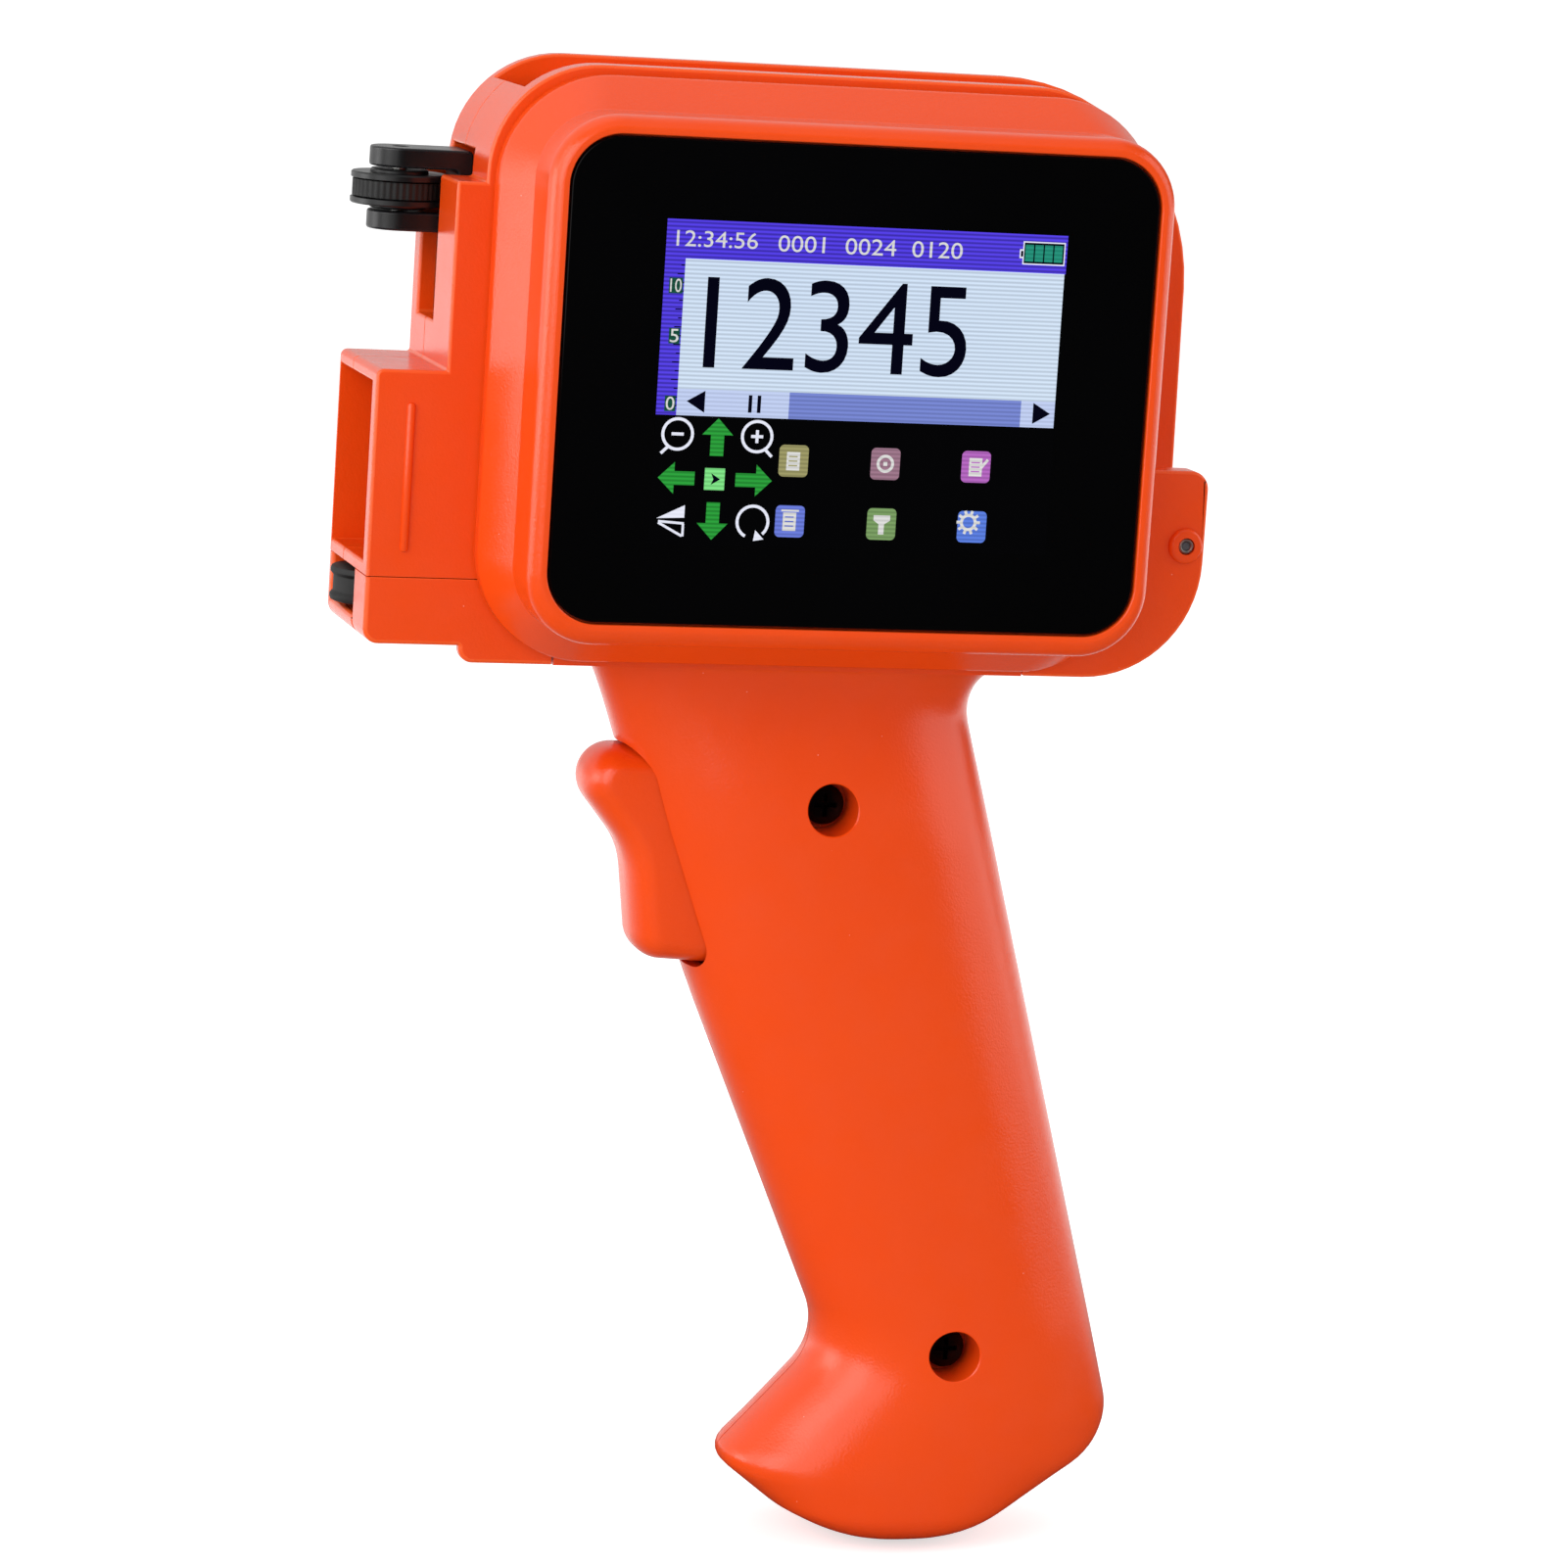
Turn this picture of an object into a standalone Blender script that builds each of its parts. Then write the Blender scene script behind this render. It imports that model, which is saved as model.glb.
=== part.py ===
"""Handheld date code inkjet printer: a screen head with an open cartridge bay on a pistol grip.

Design axes, in metres: X to the right along the screen, Y backwards from the glass, Z up, all from
the centre of the glass. The datum empty carries the whole printer so that it stands on Z = 0.
"""
import math

import bmesh
import bpy
from mathutils import Matrix, Vector

MM = 0.001
FIT = 0.3 * MM              # gap between two pieces that touch or slide
ROOT = 0.6 * MM             # how far a boss or rib is sunk into the wall that it grows from
PAST = 6.0 * MM             # how far a cutter runs past the face that it opens
WELD = 0.001 * MM           # points nearer than this are one point
ARC_STEP = math.radians(15)
SHARP_EDGE = math.radians(40)   # a round surface stays smooth up to this bend

# Touch screen, centred on the design origin
GLASS_WIDTH = 84.0 * MM
GLASS_HEIGHT = 66.6 * MM
GLASS_CORNER = 7.0 * MM
GLASS_THICKNESS = 1.6 * MM
LCD_WIDTH = 69.2 * MM
LCD_HEIGHT = 50.0 * MM
LCD_THICKNESS = 3.1 * MM
LCD_SIDE_GAP = 0.6 * MM

# Front housing: a raised frame round the glass, standing on a sloped flange
RIM_PROUD = 0.3 * MM
RIM_FLAT = 0.9 * MM
FRAME_LEFT = -44.8 * MM
FRAME_RIGHT = 44.8 * MM
FRAME_TOP = 36.1 * MM
FRAME_BOTTOM = -36.7 * MM
FRAME_CORNER = 9.8 * MM
FRAME_ROUND = 2.9 * MM
FRAME_BASE = 9.7 * MM
FLANGE_LEFT = -48.3 * MM
FLANGE_RIGHT = 47.1 * MM
FLANGE_TOP = 40.4 * MM
FLANGE_BOTTOM = -41.4 * MM
FLANGE_CORNER = 14.0 * MM
FLANGE_FRONT = 17.0 * MM
FLANGE_EDGE = 2.2 * MM
HOUSING_WALL = 2.2 * MM
GLASS_LEDGE = 2.2 * MM

# Head: two shells that meet at a seam and hold the cartridge bay between them
HEAD_LEFT = -49.3 * MM
HEAD_RIGHT = 47.2 * MM
HEAD_TOP = 41.6 * MM
HEAD_BOTTOM = -42.4 * MM
HEAD_CORNER = 14.8 * MM
HEAD_RIGHT_CORNER = 16.0 * MM
HEAD_DEPTH = 26.3 * MM
HEAD_SEAM = 16.5 * MM
FRONT_PLATE = 4.5 * MM
BACK_PLATE = 2.8 * MM
HEAD_WALL = 2.0 * MM
BAY_STEP = -43.6 * MM
BACK_TOP = 41.6 * MM
BACK_RIGHT_TOP = 61.2 * MM
BACK_RIGHT_LOW = 62.3 * MM
BACK_CORNER = 30.0 * MM

# Lug that carries the door's hinge pin
LUG_RIGHT = 59.3 * MM
LUG_TOP = -12.1 * MM
LUG_CORNER = 2.7 * MM
LUG_SWEEP = 17.0 * MM
HINGE_X = 56.3 * MM
HINGE_Z = -22.9 * MM
HINGE_PIN_RADIUS = 1.1 * MM
HINGE_PIN_BORE = 0.65 * MM
HINGE_BOSS_RADIUS = 2.55 * MM
HINGE_BOSS_PROUD = 0.8 * MM
HINGE_PIN_INSET = 0.2 * MM

# Nose with the print window, and the column above it
NOSE_LEFT = -63.3 * MM
NOSE_TOP = -1.6 * MM
NOSE_SEAM = -30.5 * MM
COLUMN_LEFT = -53.4 * MM
COLUMN_TOP = 24.7 * MM
WINDOW_TOP = -3.7 * MM
WINDOW_BOTTOM = -28.8 * MM
WINDOW_FRONT_WALL = 3.0 * MM
WINDOW_BACK_WALL = 0.8 * MM
NOSE_BEAD_X = -58.2 * MM
NOSE_BEAD_TOP = -6.2 * MM
NOSE_BEAD_BOTTOM = -26.5 * MM
NOSE_BEAD_RADIUS = 0.5 * MM
SLOT_FRONT = 31.0 * MM
SLOT_BACK = 42.0 * MM
SLOT_BOTTOM = 4.3 * MM
POCKET_BACK = 44.0 * MM
NOTCH_TOP = 29.3 * MM
NOTCH_FRONT = 21.0 * MM
NOTCH_DEPTH = 1.9 * MM

# Nose foot, in two pieces, with the guide roller
FOOT_BOTTOM = -40.0 * MM
FOOT_CORNER = 2.2 * MM
FOOT_STEP_X = -49.6 * MM
FOOT_SPLIT = 28.0 * MM
FOOT_WALL = 2.0 * MM
ROLLER_X = -58.2 * MM
ROLLER_Y = 37.0 * MM
ROLLER_RADIUS = 6.5 * MM
ROLLER_HEIGHT = 5.0 * MM
ROLLER_TOP_GAP = 0.7 * MM
ROLLER_SLOT_BACK = 43.9 * MM
ROLLER_PIN_RADIUS = 1.2 * MM
ROLLER_PIN_SEAT = 1.0 * MM

# Encoder wheel on its swinging bracket
WHEEL_X = -57.9 * MM
WHEEL_Y = 37.5 * MM
WHEEL_Z = 22.0 * MM
WHEEL_RADIUS = 6.6 * MM
WHEEL_WIDTH = 4.0 * MM
WHEEL_FLANGE = 0.9 * MM
WHEEL_CORE = 4.6 * MM
WHEEL_HUB = 3.6 * MM
TYRE_RADIUS = 6.8 * MM
TYRE_TOOTH = 0.35 * MM
TYRE_TEETH = 24
AXLE_RADIUS = 1.0 * MM
ARM_RADIUS = 4.3 * MM
UPPER_ARM_LOW = 25.1 * MM
UPPER_ARM_HIGH = 27.9 * MM
LOWER_ARM_LOW = 16.3 * MM
LOWER_ARM_HIGH = 19.0 * MM
LEVER_LEFT = -50.4 * MM
LEVER_THICKNESS = 2.1 * MM
BRACKET_PIVOT_X = -48.1 * MM
BRACKET_PIVOT_Z = 8.0 * MM
BRACKET_BARREL = 2.2 * MM
BRACKET_PIN_RADIUS = 0.9 * MM
BRACKET_PIN_SEAT = 1.2 * MM

# Cartridge door, an arched cover over the top and right side of the bay
DOOR_TOP = 38.6 * MM
DOOR_RIGHT = 49.5 * MM
DOOR_LIP = -36.0 * MM
DOOR_CORNER = 18.0 * MM
DOOR_WALL = 2.0 * MM
DOOR_SIDE_GAP = 0.4 * MM
DOOR_KNUCKLE = 3.2 * MM

# Cartridge contacts on the inside of the back plate
CONTACT_LEFT = -45.0 * MM
CONTACT_WIDTH = 20.0 * MM
CONTACT_TOP = -8.0 * MM
CONTACT_HEIGHT = 20.0 * MM
CONTACT_THICKNESS = 2.5 * MM

# Electronics behind the screen
BOARD_SIDE_GAP = 2.1 * MM   # from the housing's inner wall to the board's edge
BOARD_HEIGHT = 46.0 * MM
BOARD_CORNER = 2.0 * MM
BOARD_THICKNESS = 1.6 * MM
BOARD_POST_HEIGHT = 3.1 * MM
BOARD_POST_RADIUS = 2.2 * MM
BOARD_POST_INSET_X = 2.2 * MM
BOARD_POST_INSET_Z = 3.0 * MM
SOCKET_WIDTH = 9.0 * MM
SOCKET_LCD_GAP = 3.0 * MM   # from the display's right edge to the socket's inner end
SOCKET_Z = -10.0 * MM
SOCKET_WALL = 0.5 * MM
SOCKET_INSET = 0.2 * MM
BUTTON_WIDTH = 8.0 * MM
BUTTON_HEIGHT = 3.4 * MM
BUTTON_Y = 6.7 * MM
BUTTON_Z = 10.0 * MM
BUTTON_PROUD = 0.6 * MM
BUTTON_LENGTH = 3.4 * MM
BUTTON_GAP = 0.8 * MM
TACT_SWITCH_SIZE = 5.0 * MM
TACT_LCD_GAP = 1.6 * MM     # from the display's right edge to the switch's inner end

# Grip, drawn as a side outline; sections across it are superellipses
GRIP_MID = 33.0 * MM
GRIP_HALF_DEPTH = 15.5 * MM
GRIP_NECK_HALF_DEPTH = 13.4 * MM
GRIP_NECK_LENGTH = 26.0 * MM
GRIP_BUTT_ROUND = 13.0 * MM
GRIP_ROUNDNESS = 2.4
GRIP_WALL = 2.5 * MM
GRIP_NECK_LEFT = -27.3 * MM
GRIP_NECK_RIGHT = 26.9 * MM
GRIP_NECK_FLARE = 32.6 * MM
GRIP_NECK_FILLET = 4.2 * MM
GRIP_BULGE_X = -10.9 * MM
GRIP_BULGE_Z = -88.0 * MM
GRIP_BULGE_ROUND = 150.0 * MM
HOOK_ROOT_X = 14.1 * MM
HOOK_ROOT_Z = -143.9 * MM
HOOK_ROOT_ROUND = 9.5 * MM
HOOK_TIP_X = -2.0 * MM
HOOK_TIP_Z = -161.0 * MM
HOOK_TIP_ROUND = 3.0 * MM
BUTT_X = 26.8 * MM
BUTT_Z = -178.3 * MM
BUTT_ROUND = 29.0 * MM
HEEL_X = 59.1 * MM
HEEL_Z = -157.6 * MM
HEEL_ROUND = 11.0 * MM
SADDLE_LEFT = -35.9 * MM
SADDLE_RIGHT = 33.0 * MM
SADDLE_THICKNESS = 2.6 * MM
GRIP_LEVEL_GAP = 0.9 * MM
GRIP_LEVEL_SPAN = 13.0 * MM
GRIP_SIDES = 32

# Grip screws, deep in their bores
GRIP_SCREWS = {"upper": (6.0 * MM, -62.2 * MM), "lower": (29.9 * MM, -142.7 * MM)}
GRIP_BORE_RADIUS = 3.75 * MM
GRIP_BORE_FLOOR = 25.3 * MM
GRIP_BOSS_RADIUS = 5.4 * MM
GRIP_NUT_BOSS_RADIUS = 4.2 * MM
GRIP_SCREW_HEAD = 3.0 * MM
GRIP_SCREW_HEAD_HEIGHT = 2.4 * MM
GRIP_SCREW_SHANK = 1.5 * MM
GRIP_SCREW_LENGTH = 15.0 * MM

# Trigger, swinging on a pin near its upper end
TRIGGER_HALF_WIDTH = 7.7 * MM
TRIGGER_TOP = -55.7 * MM
TRIGGER_BOTTOM = -87.4 * MM
TRIGGER_KNOB_X = -30.6 * MM
TRIGGER_KNOB_ROUND = 4.4 * MM
TRIGGER_FINGER_X = -19.9 * MM
TRIGGER_FINGER_Z = -70.5 * MM
TRIGGER_FINGER_ROUND = 12.0 * MM
TRIGGER_TOE_X = -17.8 * MM
TRIGGER_TOE_ROUND = 7.0 * MM
TRIGGER_HEEL_X = -5.5 * MM
TRIGGER_STEP_Z = -76.2 * MM
TRIGGER_PUSH_X = -9.6 * MM
TRIGGER_END_ROUND = 6.0 * MM
TRIGGER_SLOT_ROUND = 5.1 * MM
TRIGGER_EDGE_ROUND = 2.0 * MM
TRIGGER_END_GAP = 0.7 * MM
TRIGGER_PIVOT_X = -13.0 * MM
TRIGGER_PIVOT_Z = -59.5 * MM
TRIGGER_PIN_RADIUS = 1.0 * MM
TRIGGER_PIN_SEAT = 2.4 * MM
TRIGGER_PIN_BOSS = 2.6 * MM

# Trigger switch with its plunger, and the battery cell
SWITCH_DEPTH = 6.2 * MM
SWITCH_WIDTH = 5.8 * MM
SWITCH_HEIGHT = 12.8 * MM
SWITCH_Z = -67.1 * MM
PLUNGER_REACH = 1.9 * MM
PLUNGER_RADIUS = 1.2 * MM
PLUNGER_Z = -67.5 * MM
PLUNGER_SEAT = 2.0 * MM
CELL_RADIUS = 9.2 * MM
CELL_LENGTH = 65.0 * MM
CELL_TOP_X = 8.6 * MM
CELL_TOP_Z = -69.6 * MM
CELL_LEAN = math.radians(18.7)
CELL_BACK_GAP = 0.6 * MM

# Screws that close the head and hold the front housing and the board
SHELL_SCREWS = (
    (-42.5 * MM, 31.5 * MM),
    (-50.2 * MM, 0.8 * MM),
    (-22.0 * MM, -34.6 * MM),
    (40.0 * MM, -34.6 * MM),
)
SHELL_SCREW_HEAD = 2.8 * MM
SHELL_SCREW_HEAD_HEIGHT = 1.9 * MM
SHELL_SCREW_SHANK = 1.5 * MM
SHELL_SCREW_LENGTH = 13.0 * MM
SHELL_SCREW_SINK = 2.3 * MM
SHELL_BOSS_RADIUS = 3.6 * MM
HOUSING_SCREWS = (
    (-33.0 * MM, 30.2 * MM),
    (38.5 * MM, 30.2 * MM),
    (-31.0 * MM, -30.9 * MM),
    (38.5 * MM, -30.9 * MM),
)
HOUSING_SCREW_HEAD = 2.2 * MM
HOUSING_SCREW_HEAD_HEIGHT = 1.6 * MM
HOUSING_SCREW_SHANK = 1.0 * MM
HOUSING_SCREW_LENGTH = 12.0 * MM
HOUSING_SCREW_SINK = 2.2 * MM
HOUSING_BOSS_RADIUS = 2.8 * MM
BOARD_SCREW_HEAD = 1.8 * MM
BOARD_SCREW_HEAD_HEIGHT = 1.2 * MM
BOARD_SCREW_SHANK = 0.8 * MM
BOARD_SCREW_LENGTH = 4.0 * MM

# Depths and heights that follow from the sizes above
LEDGE_FRONT = GLASS_THICKNESS + FIT
LEDGE_BACK = LEDGE_FRONT + GLASS_LEDGE
FLANGE_BACK = FLANGE_FRONT + FLANGE_EDGE
HEAD_FRONT = FLANGE_BACK + FIT
PLATE_BACK = HEAD_FRONT + FRONT_PLATE
SEAM = HEAD_FRONT + HEAD_SEAM
HEAD_BACK = HEAD_FRONT + HEAD_DEPTH
BAY_BACK = HEAD_BACK - BACK_PLATE
SADDLE_TOP = HEAD_BOTTOM + SADDLE_THICKNESS
SHELL_BOTTOM = SADDLE_TOP + FIT
BAY_FLOOR = SHELL_BOTTOM + HEAD_WALL
FOOT_TOP = NOSE_SEAM - FIT
FOOT_RIGHT = SADDLE_LEFT - FIT
BOARD_FRONT = LEDGE_BACK + BOARD_POST_HEIGHT + FIT
BOARD_BACK = BOARD_FRONT + BOARD_THICKNESS
BOARD_LEFT = FRAME_LEFT + HOUSING_WALL + BOARD_SIDE_GAP
BOARD_RIGHT = FRAME_RIGHT - HOUSING_WALL - BOARD_SIDE_GAP

# Finishes: colour, roughness, metallic
ORANGE_ABS = ((0.83, 0.085, 0.012), 0.38, 0.0)
BLACK_PLASTIC = ((0.012, 0.012, 0.014), 0.42, 0.0)
BLACK_RUBBER = ((0.016, 0.016, 0.017), 0.72, 0.0)
BLACK_GLASS = ((0.003, 0.003, 0.004), 0.06, 0.0)
BRIGHT_STEEL = ((0.62, 0.62, 0.63), 0.25, 1.0)
BLACK_STEEL = ((0.02, 0.02, 0.022), 0.35, 1.0)
GREEN_BOARD = ((0.01, 0.14, 0.05), 0.5, 0.0)
GREY_PLASTIC = ((0.22, 0.23, 0.25), 0.5, 0.0)
BLUE_SLEEVE = ((0.02, 0.10, 0.42), 0.35, 0.0)


def clear_scene():
    """Take every object out of the scene."""
    for thing in list(bpy.data.objects):
        bpy.data.objects.remove(thing, do_unlink=True)


clear_scene()
parts = bpy.data.collections.new("date_code_printer")
cutters = bpy.data.collections.new("cutters")
bpy.context.scene.collection.children.link(parts)
bpy.context.scene.collection.children.link(cutters)
datum = bpy.data.objects.new("printer_datum", None)
parts.objects.link(datum)


def add_object(name, shape, finish=None, origin=(0.0, 0.0, 0.0)):
    """Make a part from a mesh under construction, or a cutter where it has no finish."""
    bmesh.ops.recalc_face_normals(shape, faces=shape.faces)
    bmesh.ops.translate(shape, verts=shape.verts, vec=-Vector(origin))
    mesh = bpy.data.meshes.new(name)
    shape.to_mesh(mesh)
    shape.free()
    piece = bpy.data.objects.new(name, mesh)
    piece.parent = datum
    piece.location = origin
    if finish is None:
        cutters.objects.link(piece)
        piece.hide_render = True
        piece.display_type = "WIRE"
        return piece
    parts.objects.link(piece)
    colour, roughness, metallic = finish
    material = bpy.data.materials.new(name)
    material.use_nodes = True
    shader = material.node_tree.nodes["Principled BSDF"]
    shader.inputs["Base Color"].default_value = (*colour, 1.0)
    shader.inputs["Roughness"].default_value = roughness
    shader.inputs["Metallic"].default_value = metallic
    mesh.materials.append(material)
    return piece


def smooth(piece):
    """Shade a round piece smooth, and keep its true edges sharp."""
    piece.data.shade_smooth()
    piece.data.set_sharp_from_angle(angle=SHARP_EDGE)
    return piece


def combine(target, operation, others):
    """Join other objects to a part, or cut them out of it."""
    for other in others:
        step = target.modifiers.new(other.name, "BOOLEAN")
        step.operation = operation
        step.object = other
        step.solver = "EXACT"
        if other.name in parts.objects:
            parts.objects.unlink(other)
            cutters.objects.link(other)


def join(target, *others):
    """Grow bosses, ribs and plates onto a part."""
    combine(target, "UNION", others)


def cut(target, *others):
    """Cut openings, bores and pockets into a part."""
    combine(target, "DIFFERENCE", others)


def arc_corners(corners):
    """Round the corners (across, up, radius) of a closed outline and give its points."""
    points = []
    for index, (across, up, radius) in enumerate(corners):
        corner = Vector((across, up))
        if radius == 0.0:
            points.append(corner)
            continue
        before = (Vector(corners[index - 1][:2]) - corner).normalized()
        after = (Vector(corners[(index + 1) % len(corners)][:2]) - corner).normalized()
        half = math.acos(before.dot(after)) / 2
        centre = corner + (before + after).normalized() * radius / math.sin(half)
        start = corner + before * radius / math.tan(half) - centre
        end = corner + after * radius / math.tan(half) - centre
        sweep = math.atan2(start.x * end.y - start.y * end.x, start.dot(end))
        steps = max(1, round(abs(sweep) / ARC_STEP))
        for step in range(steps + 1):
            points.append(centre + Matrix.Rotation(sweep * step / steps, 2) @ start)
    return points


def box_corners(left, right, bottom, top, radius):
    """Corners of a rounded rectangle, for arc_corners."""
    places = ((left, bottom), (right, bottom), (right, top), (left, top))
    return [(across, up, radius) for across, up in places]


# How a flat outline (across, up) and its thickness lie for each direction of extrusion
EXTRUSION = {
    "X": Matrix(((0, 0, 1), (1, 0, 0), (0, 1, 0))).to_4x4(),
    "Y": Matrix(((1, 0, 0), (0, 0, -1), (0, 1, 0))).to_4x4(),
    "Z": Matrix.Identity(4),
}


def extruded(name, points, start, end, finish=None, along="Y", origin=(0.0, 0.0, 0.0)):
    """A flat outline drawn as a filled curve and given thickness from start to end."""
    curve = bpy.data.curves.new(name, "CURVE")
    curve.dimensions = "2D"
    curve.fill_mode = "BOTH"
    curve.extrude = (end - start) / 2
    spline = curve.splines.new("POLY")
    spline.points.add(len(points) - 1)
    for knot, place in zip(spline.points, points):
        knot.co = (place[0], place[1], 0.0, 1.0)
    spline.use_cyclic_u = True
    drawing = bpy.data.objects.new(name, curve)
    bpy.context.scene.collection.objects.link(drawing)
    seen = drawing.evaluated_get(bpy.context.evaluated_depsgraph_get())
    mesh = bpy.data.meshes.new_from_object(seen)
    shape = bmesh.new()
    shape.from_mesh(mesh)
    bpy.data.meshes.remove(mesh)
    bpy.data.objects.remove(drawing, do_unlink=True)
    bpy.data.curves.remove(curve)
    bmesh.ops.remove_doubles(shape, verts=shape.verts, dist=WELD)
    middle = Vector((0.0, 0.0, (start + end) / 2))
    if along == "Y":
        middle.negate()
    bmesh.ops.translate(shape, verts=shape.verts, vec=middle)
    bmesh.ops.transform(shape, verts=shape.verts, matrix=EXTRUSION[along])
    return add_object(name, shape, finish, origin)


def lofted(name, rings, finish=None):
    """A closed skin over a stack of rings that have equal counts of points."""
    shape = bmesh.new()
    rows = [[shape.verts.new(point) for point in ring] for ring in rings]
    for lower, upper in zip(rows, rows[1:]):
        for index in range(len(lower)):
            follower = (index + 1) % len(lower)
            shape.faces.new((lower[index], lower[follower], upper[follower], upper[index]))
    shape.faces.new(rows[0])
    shape.faces.new(rows[-1])
    return smooth(add_object(name, shape, finish))


def block(name, low, high, finish=None, bevel=0.0):
    """A box between two corners, with its edges rounded where asked."""
    shape = bmesh.new()
    bmesh.ops.create_cube(shape, size=1.0)
    size = [top - bottom for bottom, top in zip(low, high)]
    bmesh.ops.scale(shape, verts=shape.verts, vec=size)
    middle = [(bottom + top) / 2 for bottom, top in zip(low, high)]
    bmesh.ops.translate(shape, verts=shape.verts, vec=middle)
    if bevel:
        bmesh.ops.bevel(shape, geom=shape.edges, offset=bevel, segments=2, profile=0.5, affect="EDGES")
    return add_object(name, shape, finish)


def rod(name, radius, start, end, finish=None, sides=24, origin=(0.0, 0.0, 0.0)):
    """A round bar between two points."""
    reach = Vector(end) - Vector(start)
    turn = reach.to_track_quat("Z", "Y").to_matrix().to_4x4()
    place = Matrix.Translation((Vector(start) + Vector(end)) / 2) @ turn
    shape = bmesh.new()
    bmesh.ops.create_cone(shape, cap_ends=True, segments=sides, radius1=radius, radius2=radius,
                          depth=reach.length, matrix=place)
    return smooth(add_object(name, shape, finish, origin))


def screw(name, across, up, head_front, head, head_height, shank, length, direction):
    """A screw along Y: its head face, then head and shank going in the direction +1 or -1."""
    seat = head_front + direction * head_height
    piece = rod(name, head, (across, head_front, up), (across, seat, up), BLACK_STEEL, sides=16)
    shank_start = (across, seat - direction * head_height / 2, up)
    join(piece, rod(name + "_shank", shank, shank_start, (across, seat + direction * length, up), sides=12))
    return piece


def frame_ring(left, right, bottom, top, radius, depth):
    """A rounded rectangle across the screen at a depth behind the glass."""
    return [(x, depth, z) for x, z in arc_corners(box_corners(left, right, bottom, top, radius))]


def glass_ring(offset, depth):
    """The outline of the glass, grown by an offset, at a depth."""
    half_width = GLASS_WIDTH / 2 + offset
    half_height = GLASS_HEIGHT / 2 + offset
    return frame_ring(-half_width, half_width, -half_height, half_height, GLASS_CORNER + offset, depth)


def blend_rings(first, second, share, depth):
    """A ring part of the way from one ring to another."""
    mixed = [Vector(a).lerp(Vector(b), share) for a, b in zip(first, second)]
    return [(point.x, depth, point.z) for point in mixed]


def front_housing():
    """Raised frame and flange, open at the back, with the glass pocket, posts and wall slots."""
    rim = glass_ring(RIM_FLAT, -RIM_PROUD)
    wall = frame_ring(FRAME_LEFT, FRAME_RIGHT, FRAME_BOTTOM, FRAME_TOP, FRAME_CORNER, FRAME_BASE)
    flange = (FLANGE_LEFT, FLANGE_RIGHT, FLANGE_BOTTOM, FLANGE_TOP, FLANGE_CORNER)
    rings = [rim]
    for step in (1, 2, 3):
        angle = math.radians(90) * step / 3
        depth = -RIM_PROUD + FRAME_ROUND * (1 - math.cos(angle))
        rings.append(blend_rings(rim, wall, math.sin(angle), depth))
    rings.append(wall)
    rings.append(frame_ring(*flange, FLANGE_FRONT))
    rings.append(frame_ring(*flange, FLANGE_BACK))
    housing = lofted("front_housing", rings, ORANGE_ABS)
    pocket = lofted("glass_pocket", [glass_ring(FIT, -PAST), glass_ring(FIT, LEDGE_FRONT)])
    half_window = (LCD_WIDTH / 2 + LCD_SIDE_GAP, LCD_HEIGHT / 2 + LCD_SIDE_GAP)
    window = block("screen_window", (-half_window[0], 0.0, -half_window[1]),
                   (half_window[0], LEDGE_BACK + PAST, half_window[1]))
    inner_frame = (FRAME_LEFT + HOUSING_WALL, FRAME_RIGHT - HOUSING_WALL, FRAME_BOTTOM + HOUSING_WALL,
                   FRAME_TOP - HOUSING_WALL, FRAME_CORNER - HOUSING_WALL)
    inner_flange = (FLANGE_LEFT + HOUSING_WALL, FLANGE_RIGHT - HOUSING_WALL, FLANGE_BOTTOM + HOUSING_WALL,
                    FLANGE_TOP - HOUSING_WALL, FLANGE_CORNER - HOUSING_WALL)
    cavity = lofted("housing_cavity", [frame_ring(*inner_frame, LEDGE_BACK),
                                       frame_ring(*inner_frame, FRAME_BASE + HOUSING_WALL / 2),
                                       frame_ring(*inner_flange, FLANGE_FRONT + HOUSING_WALL / 2),
                                       frame_ring(*inner_flange, FLANGE_BACK + PAST)])
    cut(housing, pocket, window, cavity)
    for index, (x, z) in enumerate(HOUSING_SCREWS, 1):
        foot = (x, LEDGE_BACK - ROOT, z)
        join(housing, rod(f"housing_boss_{index}", HOUSING_BOSS_RADIUS, foot, (x, FLANGE_BACK, z)))
        tip = HEAD_FRONT + FRONT_PLATE - HOUSING_SCREW_SINK - HOUSING_SCREW_LENGTH - FIT
        cut(housing, rod(f"housing_hole_{index}", HOUSING_SCREW_SHANK + FIT, (x, tip, z),
                         (x, FLANGE_BACK + PAST, z), sides=12))
    for index, (x, z) in enumerate(board_posts(), 1):
        foot = (x, LEDGE_BACK - ROOT, z)
        top = LEDGE_BACK + BOARD_POST_HEIGHT
        join(housing, rod(f"board_post_{index}", BOARD_POST_RADIUS, foot, (x, top, z), sides=16))
        tip = BOARD_BACK + FIT - BOARD_SCREW_LENGTH - FIT
        cut(housing, rod(f"post_hole_{index}", BOARD_SCREW_SHANK + FIT, (x, tip, z), (x, top + PAST, z),
                         sides=12))
    cut(housing, side_slot("socket_slot", socket_span(), SOCKET_Z, SOCKET_WIDTH))
    cut(housing, side_slot("button_slot", button_span(), BUTTON_Z, BUTTON_WIDTH))
    return housing


def board_posts():
    """Places of the four posts that carry the main board."""
    left, right = BOARD_LEFT + BOARD_POST_INSET_X, BOARD_RIGHT - BOARD_POST_INSET_X
    high = BOARD_HEIGHT / 2 - BOARD_POST_INSET_Z
    return [(x, z) for x in (left, right) for z in (-high, high)]


def socket_span():
    """Front and back of the charge socket, between the ledge and the board."""
    return LEDGE_BACK + FIT, BOARD_FRONT - FIT


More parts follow.
